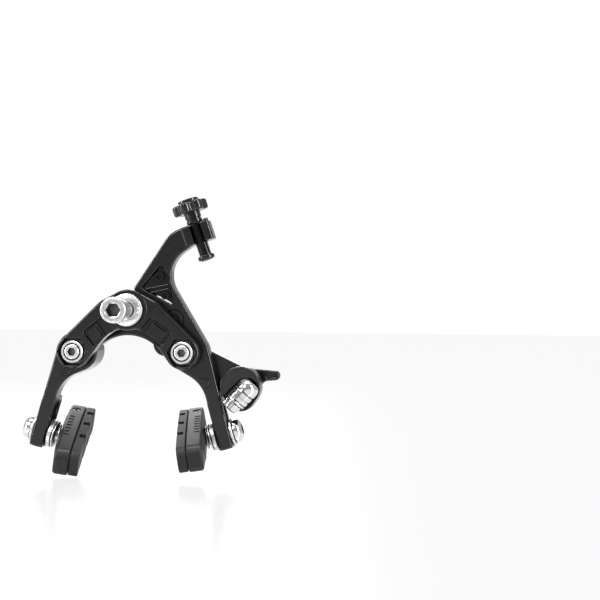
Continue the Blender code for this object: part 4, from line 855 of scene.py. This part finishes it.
def studio():
    """Pale floor, soft lights, white surroundings and the camera."""
    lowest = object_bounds()[0].z
    half = 3.0
    mesh = bpy.data.meshes.new("floor")
    corners = [(-half, -half, 0), (half, -half, 0), (half, half, 0), (-half, half, 0)]
    mesh.from_pydata(corners, [], [(0, 1, 2, 3)])
    floor = bpy.data.objects.new("floor", mesh)
    floor.location.z = lowest - 0.0002
    bpy.context.scene.collection.objects.link(floor)
    floor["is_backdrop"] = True

    white = bpy.data.materials.new("floor_white")
    white.use_nodes = True
    tree = white.node_tree
    tree.nodes.clear()
    out = tree.nodes.new("ShaderNodeOutputMaterial")
    glow = tree.nodes.new("ShaderNodeEmission")
    gloss = tree.nodes.new("ShaderNodeBsdfGlossy")
    mix = tree.nodes.new("ShaderNodeMixShader")
    glow.inputs["Color"].default_value = (1.0, 1.0, 1.0, 1.0)
    glow.inputs["Strength"].default_value = 1.12
    gloss.inputs["Roughness"].default_value = 0.20
    mix.inputs["Fac"].default_value = 0.25
    tree.links.new(glow.outputs[0], mix.inputs[1])
    tree.links.new(gloss.outputs[0], mix.inputs[2])
    tree.links.new(mix.outputs[0], out.inputs["Surface"])
    mesh.materials.append(white)

    world = bpy.data.worlds.new("studio")
    bpy.context.scene.world = world
    world.use_nodes = True
    tree = world.node_tree
    back = tree.nodes["Background"]
    place_node = tree.nodes.new("ShaderNodeTexCoord")
    parts = tree.nodes.new("ShaderNodeSeparateXYZ")
    ramp = tree.nodes.new("ShaderNodeMapRange")
    path = tree.nodes.new("ShaderNodeLightPath")
    pick = tree.nodes.new("ShaderNodeMix")
    ramp.inputs["From Min"].default_value = -1.0
    ramp.inputs["From Max"].default_value = -0.2
    ramp.inputs["To Min"].default_value = 0.30
    ramp.inputs["To Max"].default_value = 0.55
    pick.inputs["B"].default_value = 1.0
    link(tree, place_node, "Generated", parts, "Vector")
    link(tree, parts, "Y", ramp, "Value")
    link(tree, path, "Is Camera Ray", pick, "Factor")
    link(tree, ramp, "Result", pick, "A")
    tree.links.new(pick.outputs["Result"], back.inputs["Strength"])
    back.inputs["Color"].default_value = (1.0, 1.0, 1.0, 1.0)

    middle = Vector((0.005, 0.01, -0.01))
    for name, spot, size, radiance in (
            ("left_softbox", (-0.75, -0.30, 0.10), (0.14, 0.9), 20.0),
            ("right_softbox", (0.75, -0.35, 0.15), (0.14, 0.9), 20.0),
            ("key_softbox", (-0.28, -0.60, 0.42), (0.25, 0.25), 14.0),
            ("top_softbox", (0.05, -0.10, 0.75), (0.7, 0.18), 16.0),
            ("front_softbox", (-0.2, 0.75, 0.3), (0.5, 0.5), 3.0)):
        light = bpy.data.lights.new(name, "AREA")
        light.shape = "RECTANGLE"
        light.size, light.size_y = size
        light.energy = radiance * math.pi * size[0] * size[1]
        lamp = bpy.data.objects.new(name, light)
        lamp.location = spot
        towards = middle - Vector(spot)
        lamp.rotation_euler = towards.to_track_quat("-Z", "Y").to_euler()
        bpy.context.scene.collection.objects.link(lamp)

    azimuth, elevation, roll = math.radians(12.0), math.radians(0.3), math.radians(0.5)
    distance = 0.604
    pan, tilt = math.radians(6.4975), math.radians(-0.43)     # the caliper stands left of the centre
    lens = bpy.data.cameras.new("camera")
    lens.sensor_width = 36.0
    lens.lens = 91.14
    lens.dof.use_dof = False
    camera = bpy.data.objects.new("camera", lens)
    bpy.context.scene.collection.objects.link(camera)
    bpy.context.scene.camera = camera
    back_dir = Vector((math.sin(azimuth) * math.cos(elevation), -math.cos(azimuth) * math.cos(elevation),
                       math.sin(elevation)))
    camera.location = back_dir * distance
    aim = (-back_dir).to_track_quat("-Z", "Y").to_matrix().to_4x4()
    camera.rotation_euler = (aim @ turn(-pan, "Y") @ turn(-tilt, "X") @ turn(roll, "Z")).to_euler()
    lens.clip_start, lens.clip_end = 0.01, 10.0
    bpy.context.scene.view_settings.view_transform = "Standard"


bridge()
mounting()
pivots()
spring()
anchor_arm()
adjuster_arm()
arm_pieces()
cable_adjuster()
quick_release()
cable_clamp()
pad_set(-1)
pad_set(1)
studio()
